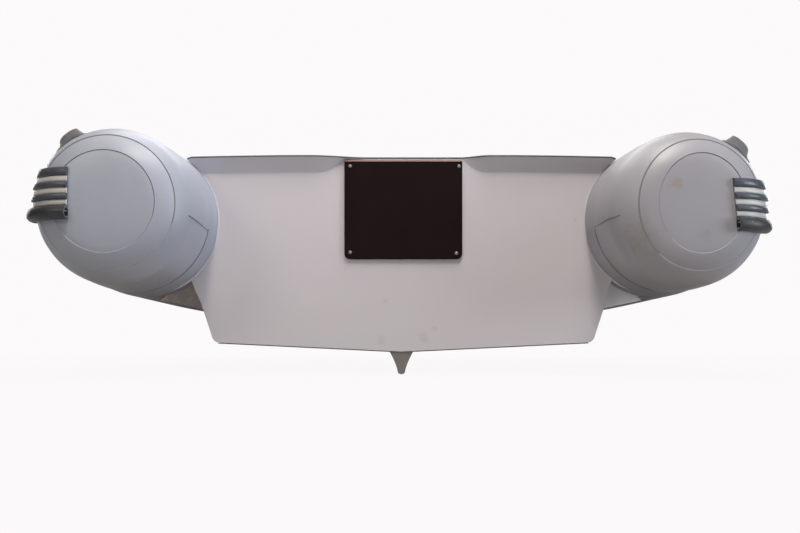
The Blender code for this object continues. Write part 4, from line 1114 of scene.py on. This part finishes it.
def makeCapStrip():
    half = [0.0, 0.04, 0.08] + [0.085 + 0.155 * i / 24 for i in range(25)]
    half += [0.26 + 0.27 * i / 12 for i in range(13)] + [0.540, 0.5465, 0.5510, capStrip["end"]]
    front = transomLook["thick"] + capStrip["overhang"]
    r, (cut, rise) = pick(capStrip, "round lowCut")
    rings = []
    for x in [-x for x in reversed(half[1:])] + half:
        aft = -transomLook["lipOut"] * lipShare(x) - capStrip["overhang"]
        low = topEdge(x) + capStrip["lift"]
        high = low + capStrip["thick"]
        ring = [(x, aft + cut, low), (x, front - cut, low), (x, front, low + rise)]
        ring += [(x, front - r + r * cos(a), high - r + r * sin(a)) for a in (0.0, 0.5, 1.0, pi / 2)]
        ring += [(x, aft + r - r * cos(a), high - r + r * sin(a)) for a in (pi / 2, 1.0, 0.5, 0.0)]
        rings.append(ring + [(x, aft, low + rise)])
    addPiece("transom_trim", loftMesh(rings, 40.0), "trimRubber", "transom_cap")


makeCapStrip()


# Outlines drawn flat
def roundedLoop(corners, radii, steps=8):
    # an outline with each corner rounded by its own radius, or all by one
    points = []
    for i, corner in enumerate(corners):
        here = Vector(corner)
        toBefore = (Vector(corners[i - 1]) - here).normalized()
        toAfter = (Vector(corners[(i + 1) % len(corners)]) - here).normalized()
        radius = radii[i] if isinstance(radii, tuple) else radii
        half = toBefore.angle(toAfter) / 2
        middle = here + (toBefore + toAfter).normalized() * (radius / sin(half))
        start = here + toBefore * (radius * cos(half) / sin(half)) - middle
        turn = (here + toAfter * (radius * cos(half) / sin(half)) - middle).angle_signed(start)
        for k in range(steps + 1):
            arm = start.copy()
            arm.rotate(Matrix.Rotation(turn * k / steps, 2))
            points.append(middle + arm)
    return points


def boxLoop(low, high, radii):
    return roundedLoop([low, (high[0], low[1]), high, (low[0], high[1])], radii)


def insetLoop(loop, distance):
    result = []
    for i, point in enumerate(loop):
        along = (loop[(i + 1) % len(loop)] - loop[i - 1]).normalized()
        result.append(point + Vector((-along.y, along.x)) * distance)
    return result


def layered(loop, steps):
    # level rings from steps of (inset, height)
    return [[Vector((p.x, p.y, z)) for p in insetLoop(loop, inset)] for inset, z in steps]


def flatPad(loop, low, high, edge):
    # a thin raised panel with softened edges
    return loftMesh(layered(loop, ((0, low), (0, high - edge * 0.6), (edge * 0.4, high - edge * 0.15),
                                   (edge, high), (edge * 3, high))), 35.0)


# Engine pads, black faced board with a bare brown edge along the top, each held by four screws
padLook = {
    "wide": 0.309, "low": 0.0965, "high": 0.3570, "middle": 0.005, "thick": 0.008, "gap": 0.0003,
    "cornerLow": 0.0145, "cornerHigh": 0.004, "edge": 0.0014, "topEdge": 0.0048, "topSlope": 0.0032,
    "screws": ((-0.1342, 0.3397), (0.1506, 0.3397), (-0.1342, 0.1138), (0.1440, 0.1112)), "screwRadius": 0.0046,
}


def makePad(name, standsFor, base, way):
    low, high, thick, middleX, wide, edge = pick(padLook, "low high thick middle wide edge")
    half = wide / 2
    radii = (padLook["cornerLow"],) * 2 + (padLook["cornerHigh"],) * 2
    loop = boxLoop((middleX - half, low), (middleX + half, high), radii)
    count = len(loop)

    def atDepth(points, depths):
        return [Vector((p.x, base + way * depth, p.y)) for p, depth in zip(points, depths)]

    onTop = [p.y > high - padLook["cornerHigh"] * 0.7 for p in loop]
    shoulder = [thick - (padLook["topSlope"] if top else edge) for top in onTop]
    face = [Vector((p.x, min(p.y, high - padLook["topEdge"]))) for p in insetLoop(loop, edge)]
    middle = Vector((middleX, (low + high) / 2))
    inner = [middle + (p - middle) * 0.96 for p in face]
    rings = [atDepth(loop, [0.0] * count), atDepth(loop, shoulder), atDepth(face, [thick] * count),
             atDepth(inner, [thick] * count)]
    mesh = loftMesh(rings, 25.0, slotOf=lambda r, i: int(r in (0, 1) and onTop[i] and onTop[(i + 1) % count]))
    addPiece(name, mesh, "padFace padEdge", standsFor)
    heads = [screwHead((x, base + way * thick, z), (0, way, 0), padLook["screwRadius"]) for x, z in padLook["screws"]]
    addPiece(name + "_screws", joined(heads), "dullSteel")


makePad("pad_outside", "engine_pad_outer", -padLook["gap"], -1)
makePad("pad_inside", "engine_pad_inner", transomLook["thick"] + padLook["gap"], 1)


# Fillet of sealant where each tube meets the transom
sealantLook = {"radius": 0.0021, "angles": (131.0, 246.0), "steps": 60, "aft": -0.0006, "lift": 0.0008}


def makeSealant():
    low, high = sealantLook["angles"]
    steps = sealantLook["steps"]
    for name, side in twoSides:
        rings = []
        for i in range(steps + 1):
            angle = radians(low + (high - low) * i / steps)
            out = Vector((side * cos(angle), 0, sin(angle)))
            taper = min(i, steps - i, 3) / 3 * 0.9 + 0.1
            size = sealantLook["radius"] * taper * (1 + 0.12 * sin(i * 1.7) * sin(i * 0.53))
            centre = Vector((side * tubes["out"], sealantLook["aft"], tubes["height"]))
            centre += out * (tubes["radiusStern"] + sealantLook["lift"])
            rings.append(circle(centre, -out * size, Vector((0, -size, 0)), 10))
        addPiece("transom_sealant_" + name, loftMesh(rings, 60.0), "sealant")


makeSealant()
print("transom, pads and sealant made")


# Hull: a moulded V bottom, a chine flat, a flange for the tubes and a deck above
hullLook = {
    "keelDepth": 0.146, "keelRiseStart": 1.30, "keelRise": 0.24, "chineIn": 0.185, "chineFlat": 0.020,
    "chineDrop": ((0, 0.319), (1, 0.295), (2, 0.330)), "sideIn": 0.1635, "sideDrop": 0.233, "flange": 0.012,
    "seatFrom": 205.0, "seatTo": 260.0, "coaming": 0.006, "deckIn": 0.224, "deckLevel": 0.030,
    "deckRiseStart": 2.66, "deckRise": 0.205, "deckRiseLength": 0.40, "start": 0.0453, "softGap": 0.0006,
    "chineRound": 0.006, "liner": 0.005, "gap": 0.0006, "tuck": 0.006, "tuckEnd": 0.36,
}
chineIn, softGap = hullLook["chineIn"], hullLook["softGap"]
upward = Vector((0, 0, 1))


def ribMiddle(u):
    # how far forward a rib meets the centreline
    if u <= 1:
        return u * bowStart
    return bowStart + bowLength * (1 - (tubes["outMax"] / bowLength) ** 2) * sin((u - 1) * pi / 2)


def keelHeight(y):
    rise = max(y - hullLook["keelRiseStart"], 0.0) / (ribMiddle(2) - hullLook["keelRiseStart"])
    return -hullLook["keelDepth"] + hullLook["keelRise"] * rise ** 4


def deckHeight(y):
    share = max(y - hullLook["deckRiseStart"], 0.0) / hullLook["deckRiseLength"]
    return hullLook["deckLevel"] + hullLook["deckRise"] * share ** 1.5


def inboardPoint(u, inboard, z):
    centre, outboard, _ = tubeFrame(u)
    return Vector((centre.x - outboard.x * inboard, centre.y - outboard.y * inboard, z))


def chinePoint(u, inboard):
    return inboardPoint(u, inboard, tubeCentre(u).z - readOff(u, hullLook["chineDrop"]))


def roundedTurn(before, corner, after, radius, steps=4):
    # points that round a corner of a rib
    start = corner + (before - corner).normalized() * radius
    end = corner + (after - corner).normalized() * radius
    shares = [i / steps for i in range(steps + 1)]
    return [start * (1 - t) ** 2 + corner * (2 * t * (1 - t)) + end * t * t for t in shares]


def hullRib(u):
    centre, outboard, up = tubeFrame(u)
    middle = ribMiddle(u)
    radius = tubeRadius(centre.y) - softGap
    seat = []
    for i in range(13):
        angle = radians(hullLook["seatTo"] + (hullLook["seatFrom"] - hullLook["seatTo"]) * i / 12)
        seat.append(centre + outboard * (radius * cos(angle)) + up * (radius * sin(angle)))
    keel = Vector((0, middle, keelHeight(middle)))
    full = smoothStep((middle - hullLook["start"]) / (hullLook["tuckEnd"] - hullLook["start"]))
    tuckedIn = chineIn + hullLook["tuck"] * (1 - full)
    chine = chinePoint(u, tuckedIn)
    flat = chinePoint(u, tuckedIn - hullLook["chineFlat"] * max(full, 0.1))
    side = centre - outboard * hullLook["sideIn"] - up * hullLook["sideDrop"]
    flange = seat[0] - up * hullLook["flange"]
    coaming = seat[-1] - outboard * hullLook["coaming"]
    edge = inboardPoint(u, hullLook["deckIn"], 0.0)
    edge.z = deckHeight(edge.y)
    turn = hullLook["chineRound"]
    rib = [keel + upward * 0.0005] + [keel.lerp(chine, share) for share in (0.012, 0.1, 0.3, 0.5, 0.7, 0.9)]
    rib += roundedTurn(keel, chine, flat, turn * 0.5) + roundedTurn(chine, flat, side, turn)
    rib += roundedTurn(flat, side, flange, turn * 2) + roundedTurn(side, flange, seat[0], 0.003, 3) + seat[1:]
    return rib + [coaming, edge, Vector((0, middle, deckHeight(middle)))]


def linerRib(u):
    coaming, edge, middle = hullRib(u)[-3:]
    outboard = tubeFrame(u)[1]
    skin, off = outboard * -hullLook["liner"], outboard * -hullLook["gap"]
    gap, high = upward * hullLook["gap"], upward * hullLook["liner"]
    floorMiddle, inside, rim = middle + gap + high, edge + off + skin + gap + high, coaming + off + skin
    top = [floorMiddle.lerp(inside, share) for share in (0.0, 0.25, 0.5, 0.75)]
    top += roundedTurn(floorMiddle, inside, rim, 0.014, 5) + roundedTurn(inside, rim, coaming + off, 0.002, 2)
    return top + [coaming + off, edge + off + gap, middle + gap]


def makeMoulding(name, ribOf, size, finishName, standsFor):
    # ribs made whole from the transom to the bow, where the last is drawn to a tip
    rings = [bothSides(ribOf(u)) for u in pathSteps(hullLook["start"] / bowStart, 1.9999, size)]
    rings[-1] = [Vector((p.x * 0.02, p.y, p.z)) for p in rings[-1]]
    addPiece(name, loftMesh(rings, 32.0), finishName, standsFor)


makeMoulding("hull_moulding", hullRib, 0.035, "hullUnderside", "hull_bottom")


# Spray rails and skeg
railLook = {"start": 0.9, "end": 1.75, "across": 0.52, "width": 0.030, "deep": 0.013, "thin": 0.0015, "sunk": 0.0004,
            "shares": (0.0, 0.35, 0.7, 0.93, 1.0)}
skegLook = {"length": 1.10, "deep": 0.060, "deepFront": 0.008, "top": 0.0630, "foot": 0.020, "steps": 36,
            "footRound": 0.008, "start": 0.002, "endRound": 0.0015}


def bottomPoint(u, share, below):
    middle = ribMiddle(u)
    return Vector((0, middle, keelHeight(middle))).lerp(chinePoint(u, chineIn), share) - Vector((0, 0, below))


def makeRails():
    path = pathSteps(railLook["start"] / bowStart, railLook["end"], 0.04)
    thin, sunk = railLook["thin"], railLook["sunk"]
    for name, side in twoSides:
        rings = []
        for i, u in enumerate(path):
            deep = thin + (railLook["deep"] - thin) * smoothStep(min(i, len(path) - 1 - i) / 4)
            half = railLook["width"] / (bottomPoint(u, 1.0, 0) - bottomPoint(u, 0.0, 0)).length / 2
            inner, outer = railLook["across"] - half, railLook["across"] + half
            ring = []
            for share in railLook["shares"]:
                below = sunk + (deep - sunk) * (share ** 1.4 if share < 0.95 else 0.80)
                ring.append(bottomPoint(u, inner + (outer - inner) * share, below))
            ring += [bottomPoint(u, outer, 0.0002), bottomPoint(u, inner, -0.0005)]
            rings.append([Vector((side * p.x, p.y, p.z)) for p in ring])
        addPiece("spray_strake_" + name, loftMesh(rings, 38.0), "hullUnderside", "spray_rail_" + name)


def makeSkeg():
    steps, footRound = skegLook["steps"], skegLook["footRound"]
    rings = []
    for i in range(steps + 1):
        share = i / steps
        y = skegLook["start"] + skegLook["length"] * share
        halfTop = skegLook["top"] / 2 * (1 - 0.5 * share)
        halfFoot = skegLook["foot"] / 2 * (1 - 0.3 * share)
        keel = keelHeight(y)
        chine = chinePoint(y / bowStart, chineIn)
        high = keel - softGap + (chine.z - keel) / chine.x * halfTop
        foot = keel - skegLook["deep"] - (skegLook["deepFront"] - skegLook["deep"]) * smoothStep(share)
        side = [(halfTop, high)]
        side += [(halfFoot + (halfTop - halfFoot) * (1 - t) ** 1.35, high + (foot + footRound - high) * t)
                 for t in (0.04, 0.15, 0.35, 0.6, 0.85)]
        side += [(halfFoot * cos(a), foot + footRound * (1 - sin(a))) for a in (0.0, 0.35, 0.7, 1.05, 1.35)]
        aft = y + (0.0 if i else skegLook["endRound"])
        half = [Vector((0, y, keel - softGap))] + [Vector((x, aft, z)) for x, z in side] + [Vector((0, y, foot))]
        rings.append(bothSides(half))
    addPiece("skeg_fin", loftMesh(rings, 34.0), "skegWorn", "keel_skeg")


makeRails()
makeSkeg()
print("hull, spray rails and skeg made")


# Deck moulding with a grip pattern in four panels
gripLook = {
    "panels": (((0.030, 0.12), (0.395, 0.12), (0.398, 0.96), (0.030, 0.96)),
               ((0.030, 1.04), (0.402, 1.04), (0.402, 1.92), (0.030, 1.92))),
    "round": 0.035, "high": 0.0014, "edge": 0.002,
}


def makeDeckGrip():
    level = hullLook["deckLevel"] + hullLook["gap"] + hullLook["liner"]
    pads = []
    for corners in gripLook["panels"]:
        for side in (1, -1):
            loop = roundedLoop([(side * x, y) for x, y in corners][::side], gripLook["round"])
            pads.append(flatPad(loop, level - 0.0005, level + gripLook["high"], gripLook["edge"]))
    addPiece("deck_grip_panels", joined(pads), "deckGrip")


makeMoulding("deck_moulding", linerRib, 0.04, "deckGelcoat", "deck_liner")
makeDeckGrip()
print("deck made")


# Thwart, a moulded board on two brackets
thwartLook = {
    "aft": 1.02, "front": 1.28, "low": 0.340, "thick": 0.025, "half": 0.535, "edge": 0.008, "endRound": 0.014,
    "shrink": 0.0065, "sunk": 0.0008, "gripIn": (0.095, 0.03), "screwIn": (0.040, 0.05), "screwRadius": 0.006,
    "bracketIn": 0.470, "bracketLow": 0.250, "bracketShort": 0.02, "bracketSteps": 20, "rib": 0.0035, "groove": -0.003,
}


def makeThwart():
    half, aft, front, low, edge, endRound = pick(thwartLook, "half aft front low edge endRound")
    middle, high = (front + aft) / 2, low + thwartLook["thick"]
    ends = [half, half - 0.002, half - 0.006, half - endRound]
    rings = []
    for x in [-x for x in ends] + [-0.48 + 0.96 * i / 16 for i in range(17)] + ends[::-1]:
        end = max(abs(x) - (half - endRound), 0.0) / endRound
        shrink = thwartLook["shrink"] * (1 - sqrt(max(1 - end * end, 0.0)))
        deep = (front - aft) / 2 - shrink - edge
        lowArc, highArc = low + shrink + edge, high - thwartLook["sunk"] - shrink - edge
        ring = []
        arcs = ((deep, lowArc, -0.5), (deep, highArc, 0.0), (-deep, highArc, 0.5), (-deep, lowArc, 1.0))
        for across, z, start in arcs:
            for turn in (pi * (start + k / 8) for k in range(5)):
                ring.append(Vector((x, middle + across + edge * cos(turn), z + edge * sin(turn))))
        rings.append(ring)
    addPiece("thwart_board", loftMesh(rings), "deckGelcoat", "thwart")
    endIn, edgeIn = thwartLook["gripIn"]
    loop = boxLoop((endIn - half, aft + edgeIn), (half - endIn, front - edgeIn), 0.02)
    addPiece("thwart_grip", flatPad(loop, high - 0.0015, high + 0.0004, 0.0016), "deckGrip")
    endIn, edgeIn = thwartLook["screwIn"]
    heads = [screwHead((x, y, high - 0.0009), upward, thwartLook["screwRadius"]) for x in (endIn - half, half - endIn)
             for y in (aft + edgeIn, front - edgeIn)]
    addPiece("thwart_screws", joined(heads), "steel")


def makeBrackets():
    steps, short = thwartLook["bracketSteps"], thwartLook["bracketShort"]
    front, aft = thwartLook["front"] - short, thwartLook["aft"] + short
    low, top = thwartLook["bracketLow"], thwartLook["low"] - 0.0004
    for name, side in twoSides:
        rings = []
        for i in range(steps + 1):
            y = aft + (front - aft) * i / steps
            centre = tubeCentre(y / bowStart)
            radius = tubeRadius(centre.y) + skinSwell(y / bowStart, 2.6) + 0.0009
            rib = thwartLook["rib"] if min(i, steps - i) < 2 else 0.0 if i % 5 else thwartLook["groove"]
            inner = thwartLook["bracketIn"] + 0.001 + rib
            ring = []
            for z in (low + (top - low) * k / 12 for k in range(13)):
                ring.append((centre.x - sqrt(radius * radius - (z - centre.z) ** 2), z))
            ring += [(inner, top), (inner, top - 0.012), (inner + 0.004, (top + low) / 2), (inner, low + 0.012),
                     (inner, low)]
            rings.append([Vector((side * x, y, z)) for x, z in ring])
        addPiece("thwart_support_" + name, loftMesh(rings, 35.0), "handleRubber",
                 "thwart_bracket_" + name)


makeThwart()
makeBrackets()
print("thwart made")


# Bow locker, an open box, and its lid
lockerLook = {
    "aft": 2.05, "front": 2.5615, "halfAft": 0.400, "halfFront": 0.300, "wall": 0.008, "high": 0.290, "corner": 0.03,
    "low": 0.0359, "rimRound": 0.003, "swage": 0.0032, "lidThick": 0.020, "overhang": 0.010,
    "channel": (0.030, 0.046), "channelDeep": 0.004,
}
hingeLook = {"radius": 0.006, "half": 0.150, "knuckles": 9, "pin": 0.0026, "leafDeep": 0.050, "leafThick": 0.0030,
             "play": 0.0004, "screws": (-0.12, -0.04, 0.04, 0.12), "screwDown": 0.034, "screwRadius": 0.0042}
latchLook = {"drop": 0.032, "below": 0.004, "half": 0.030, "thick": 0.0030, "gripHalf": 0.011, "gripOut": 0.0060,
             "gripSunk": 0.0004, "gripFrom": 0.004, "gripTo": 0.026, "screws": (-0.021, 0.021), "screwDown": 0.007,
             "screwRadius": 0.0036}
lockerAft, lockerFront, lidThick, overhang = pick(lockerLook, "aft front lidThick overhang")
lidLow = lockerLook["high"] + 0.0003
lidHigh = lidLow + lidThick
hingeY, hingeZ = lockerFront + 0.0030, lidLow + lidThick / 2


def lockerHalf(y, inset):
    share = (y - lockerAft) / (lockerFront - lockerAft)
    return lockerLook["halfAft"] + (lockerLook["halfFront"] - lockerLook["halfAft"]) * share - inset


def lockerLoop(aft, front, inset, corner):
    wideAft, wideFront = lockerHalf(aft, inset), lockerHalf(front, inset)
    return roundedLoop([(-wideAft, aft), (wideAft, aft), (wideFront, front), (-wideFront, front)], corner)


def makeLocker():
    low, high, edge, wall, swage = pick(lockerLook, "low high rimRound wall swage")
    steps = ((0.004, low), (0.001, low + 0.001), (0, low + 0.004), (0, low + 0.045), (swage, low + 0.050),
             (swage, high - 0.060), (0, high - 0.055), (0, high - edge), (edge * 0.3, high - edge * 0.3), (edge, high),
             (wall - edge, high), (wall - edge * 0.3, high - edge * 0.3), (wall, high - edge), (wall, low + 0.026),
             (wall + 0.006, low + 0.012), (wall + 0.018, low + wall))
    outline = lockerLoop(lockerAft, lockerFront, 0.0, lockerLook["corner"])
    addPiece("locker_box", loftMesh(layered(outline, steps), 32.0), "deckGelcoat", "bow_locker")


def lidLoop(inset):
    # the lid's outline, set in by a distance with its corners kept round
    slope = (lockerLook["halfAft"] - lockerLook["halfFront"]) / (lockerFront - lockerAft)
    front = hingeY - hingeLook["radius"] - 0.0005 - inset
    return lockerLoop(lockerAft - overhang + inset, front, inset * sqrt(1 + slope * slope) - overhang,
                      max(lockerLook["corner"] - inset, 0.006))


def makeLid():
    low, high, deep = lidLow, lidHigh, lockerLook["channelDeep"]
    inner, outer = lockerLook["channel"]
    steps = ((0.014, low), (0.002, low), (0.0, low + 0.002), (0.0, high - 0.0055), (0.0009, high - 0.0026),
             (0.0028, high - 0.0007), (0.0055, high), (inner, high), (inner + 0.002, high - 0.0006),
             (inner + 0.0055, high - deep), (outer - 0.0055, high - deep), (outer - 0.002, high - 0.0006),
             (outer, high))
    rings = [[Vector((p.x, p.y, z)) for p in lidLoop(inset)] for inset, z in steps]
    addPiece("locker_lid_moulding", loftMesh(rings, 32.0), "deckGelcoat", "locker_lid", "lid")
    grip = flatPad(lidLoop(outer + 0.012), high - 0.0006, high + 0.0012, 0.0018)
    addPiece("locker_lid_grip", grip, "deckGrip", body="lid")


def makeHinge():
    half, count, radius, pin, leafDeep, play = pick(hingeLook, "half knuckles radius pin leafDeep play")
    face = lockerFront + hingeLook["leafThick"]

    def onPin(low, high, radius):
        return rodMesh((low, hingeY, hingeZ), (high, hingeY, hingeZ), radius)

    length = 2 * half / count
    starts = [-half + i * length + play for i in range(count)]
    parts = [onPin(start, start + length - 2 * play, radius) for start in starts]
    parts.append(onPin(-half - 0.0015, half + 0.0015, pin))
    parts.append(roundedBox((-half, lockerFront + play, hingeZ - leafDeep), (half, face, hingeZ - 0.002), 0.0007))
    screwUp, screwRadius = hingeZ - hingeLook["screwDown"], hingeLook["screwRadius"]
    parts += [screwHead((x, face, screwUp), (0, 1, 0), screwRadius) for x in hingeLook["screws"]]
    addPiece("locker_hinge_knuckles", joined(parts, 35.0), "steel", "locker_hinge")


def makeLatch():
    back, low, high = lockerAft - overhang - 0.0003, lidLow - latchLook["drop"], lidHigh - latchLook["below"]
    half, thick, gripHalf, gripOut = pick(latchLook, "half thick gripHalf gripOut")
    gripSunk, gripFrom, gripTo, screwDown = pick(latchLook, "gripSunk gripFrom gripTo screwDown")
    face = back - thick
    gripLow, gripHigh = (-gripHalf, back - gripOut, low + gripFrom), (gripHalf, face + gripSunk, low + gripTo)
    parts = [roundedBox((-half, face, low + 0.001), (half, back, high), 0.0008),
             roundedBox(gripLow, gripHigh, 0.0015, 3)]
    parts += [screwHead((x, face, high - screwDown), (0, -1, 0), latchLook["screwRadius"]) for x in latchLook["screws"]]
    addPiece("lid_latch_plate", joined(parts, 35.0), "steel", "lid_latch", "lid")


makeLocker()
makeLid()
makeHinge()
makeLatch()
print("bow locker and its lid made")


# Fittings that are glued on the tubes: drawn flat, then bent onto the skin
def layOn(mesh, u, degrees, lift):
    # X runs forward, Y up round the tube and Z off it
    metres = metresPerStep(u)
    forward = 1 if u <= 2 else -1
    for vert in mesh.vertices:
        x, y, z = vert.co
        here = u + forward * x / metres
        vert.co = skinPoint(here, radians(degrees) + y / tubeRadius(tubeCentre(here).y), lift + z)
    return finishMesh(mesh, 35.0)


handleLook = {
    "base": 0.0055, "patch": (0.110, 0.0425), "corner": 0.018, "ridge": 0.05, "ridgeStep": 0.020, "sides": 28,
    # along, height, half width and half thickness of the grip's aft half
    "grip": ((-0.092, 0.0045, 0.034, 0.004), (-0.083, 0.0095, 0.031, 0.0065), (-0.072, 0.0190, 0.0265, 0.0068),
             (-0.062, 0.0290, 0.0235, 0.0068), (-0.050, 0.0360, 0.0205, 0.0066), (-0.034, 0.0388, 0.0185, 0.0066),
             (-0.017, 0.0394, 0.0178, 0.0066), (0.0, 0.0395, 0.0176, 0.0066)),
    # how far forward, how far off the skin, and how high round the starboard tube
    "places": (("aft", -0.104, 0.0030, 49.0), ("middle", 0.95, 0.0006, 55.0), ("forward", 1.95, 0.0006, 55.0)),
    "angle": 55.0,
}


def gripRings():
    half, high, apart = pick(handleLook, "grip ridge ridgeStep")
    fine = curveThrough([*half, *((-x, z, w, t) for x, z, w, t in reversed(half[:-1]))], 5, 5)
    rings = []
    for i, (x, z, wide, thick) in enumerate(fine):
        before, after = fine[max(i - 1, 0)], fine[min(i + 1, len(fine) - 1)]
        slope = (after - before).xy.normalized()
        ridge = 1 + high * cos(x * 2 * pi / apart) * smoothStep((0.055 - abs(x)) / 0.015)
        ring = []
        for turn in turns(handleLook["sides"]):
            c, s = cos(turn), sin(turn)
            off = thick * ridge * (abs(s) ** 0.8) * (1 if s > 0 else -1)
            ring.append(Vector((x - slope.y * off, wide * (abs(c) ** 0.8) * (1 if c > 0 else -1), z + slope.x * off)))
        rings.append(ring)
    return rings


def makeHandle(name, u, degrees, lift):
    half, base = Vector(handleLook["patch"]), handleLook["base"]
    loop = boxLoop(-half, half, handleLook["corner"])
    middle = sum(loop, Vector((0, 0))) / len(loop)
    plate = []
    # each layer's share of the outline, inset and height
    for share, inset, height in ((0.3, 0, 0), (0.7, 0, 0), (1, 0, 0), (1, 0, 0.35), (1, 0.0008, 0.6), (1, 0.0035, 0.68),
                                 (1, 0.006, 0.72), (1, 0.0075, 0.95), (1, 0.0095, 1), (0.8, 0.006, 1), (0.6, 0.006, 1),
                                 (0.4, 0.006, 1), (0.2, 0.004, 1)):
        points = [middle + (p - middle) * share for p in insetLoop(loop, inset)]
        plate.append([Vector((p.x, p.y, base * height)) for p in points])
    mesh = layOn(joined([loftMesh(plate, 35.0), loftMesh(gripRings(), 35.0)], 35.0), u, degrees, lift)
    if name == "grab_handle_starboard_aft":
        settled(mesh, name)
    addPiece("moulded_" + name, mesh, "handleRubber", name)


for placeName, placeY, handleLift, sternAngle in handleLook["places"]:
    u = pathValue(placeY)
    makeHandle("grab_handle_starboard_" + placeName, u, sternAngle, handleLift)
    makeHandle("grab_handle_port_" + placeName, 4 - u, handleLook["angle"], handleLift)
makeHandle("bow_handle", 2.0, 90.0, 0.0006)


# Inflation valves: a flange, a raised ring and a screw cap with finger notches
valveLook = {
    "sides": 80, "notches": 10, "notchDeep": 0.0016,
    # radius and height
    "flange": ((0.004, 0.0), (0.02, 0.0), (0.0335, 0.0), (0.0335, 0.0012), (0.0321, 0.0024), (0.0275, 0.0030),
               (0.0262, 0.0034), (0.0255, 0.0052), (0.0240, 0.0058), (0.0228, 0.0052), (0.0222, 0.0036)),
    # radius, height and share of the notches
    "cap": ((0.0208, 0.0036, 1.0), (0.0205, 0.0070, 1.0), (0.0192, 0.0084, 0.8), (0.0160, 0.0086, 0.2),
            (0.0110, 0.0084, 0.0), (0.0104, 0.0074, 0.0), (0.0040, 0.0073, 0.0)),
    "places": (("starboard", pathValue(0.45), 160.0), ("port", 4 - pathValue(0.45), 160.0), ("bow", 1.34, 150.0)),
}


def valveMesh():
    rings = []
    for radius, z, cut in [(*step, 0.0) for step in valveLook["flange"]] + list(valveLook["cap"]):
        ring = []
        for turn in turns(valveLook["sides"]):
            reach = radius - valveLook["notchDeep"] * cut * max(cos(turn * valveLook["notches"]), 0.0) ** 2
            ring.append(Vector((reach * cos(turn), reach * sin(turn), z)))
        rings.append(ring)
    return loftMesh(rings, 35.0)


for placeName, u, degrees in valveLook["places"]:
    mesh = layOn(valveMesh(), u, degrees, 0.0004)
    addPiece("inflation_valve_" + placeName, mesh, "valvePlastic", "valve_" + placeName)
print("handles and valves made")


# Bow eye: a bent steel rod with a small collar at each foot
eyeLook = {
    "place": 2.90, "half": 0.022, "reach": 0.040, "wire": 0.005, "bendSteps": 24, "sides": 16, "collarSides": 28,
    "collar": ((0.0095, -0.001), (0.0095, 0.0008), (0.0085, 0.0020), (0.0058, 0.0028), (0.004, 0.0050)),
}


def makeBowEye():
    y, half, reach, wire, steps = pick(eyeLook, "place half reach wire bendSteps")
    along = Vector((0, 0.04, keelHeight(y + 0.02) - keelHeight(y - 0.02))).normalized()
    out = Vector((0, along.z, -along.y))
    foot = Vector((0, y, keelHeight(y)))
    bend = circle(foot + out * (reach - half), -along * half, out * half, steps * 2)[:steps + 1]
    path = [foot - along * half] + bend + [foot + along * half]
    rings = []
    side = Vector((1, 0, 0))
    for i, point in enumerate(path):
        way = (path[min(i + 1, len(path) - 1)] - path[max(i - 1, 0)]).normalized()
        rings.append(circle(point, side * wire, way.cross(side) * wire, eyeLook["sides"]))
    parts = [loftMesh(rings, 40.0)]
    for end in (-1, 1):
        parts.append(turnedMesh(eyeLook["collar"], eyeLook["collarSides"], foot + along * (half * end), out))
    addPiece("towing_eye", joined(parts, 40.0), "steel", "bow_eye")


makeBowEye()
print("towing eye made")
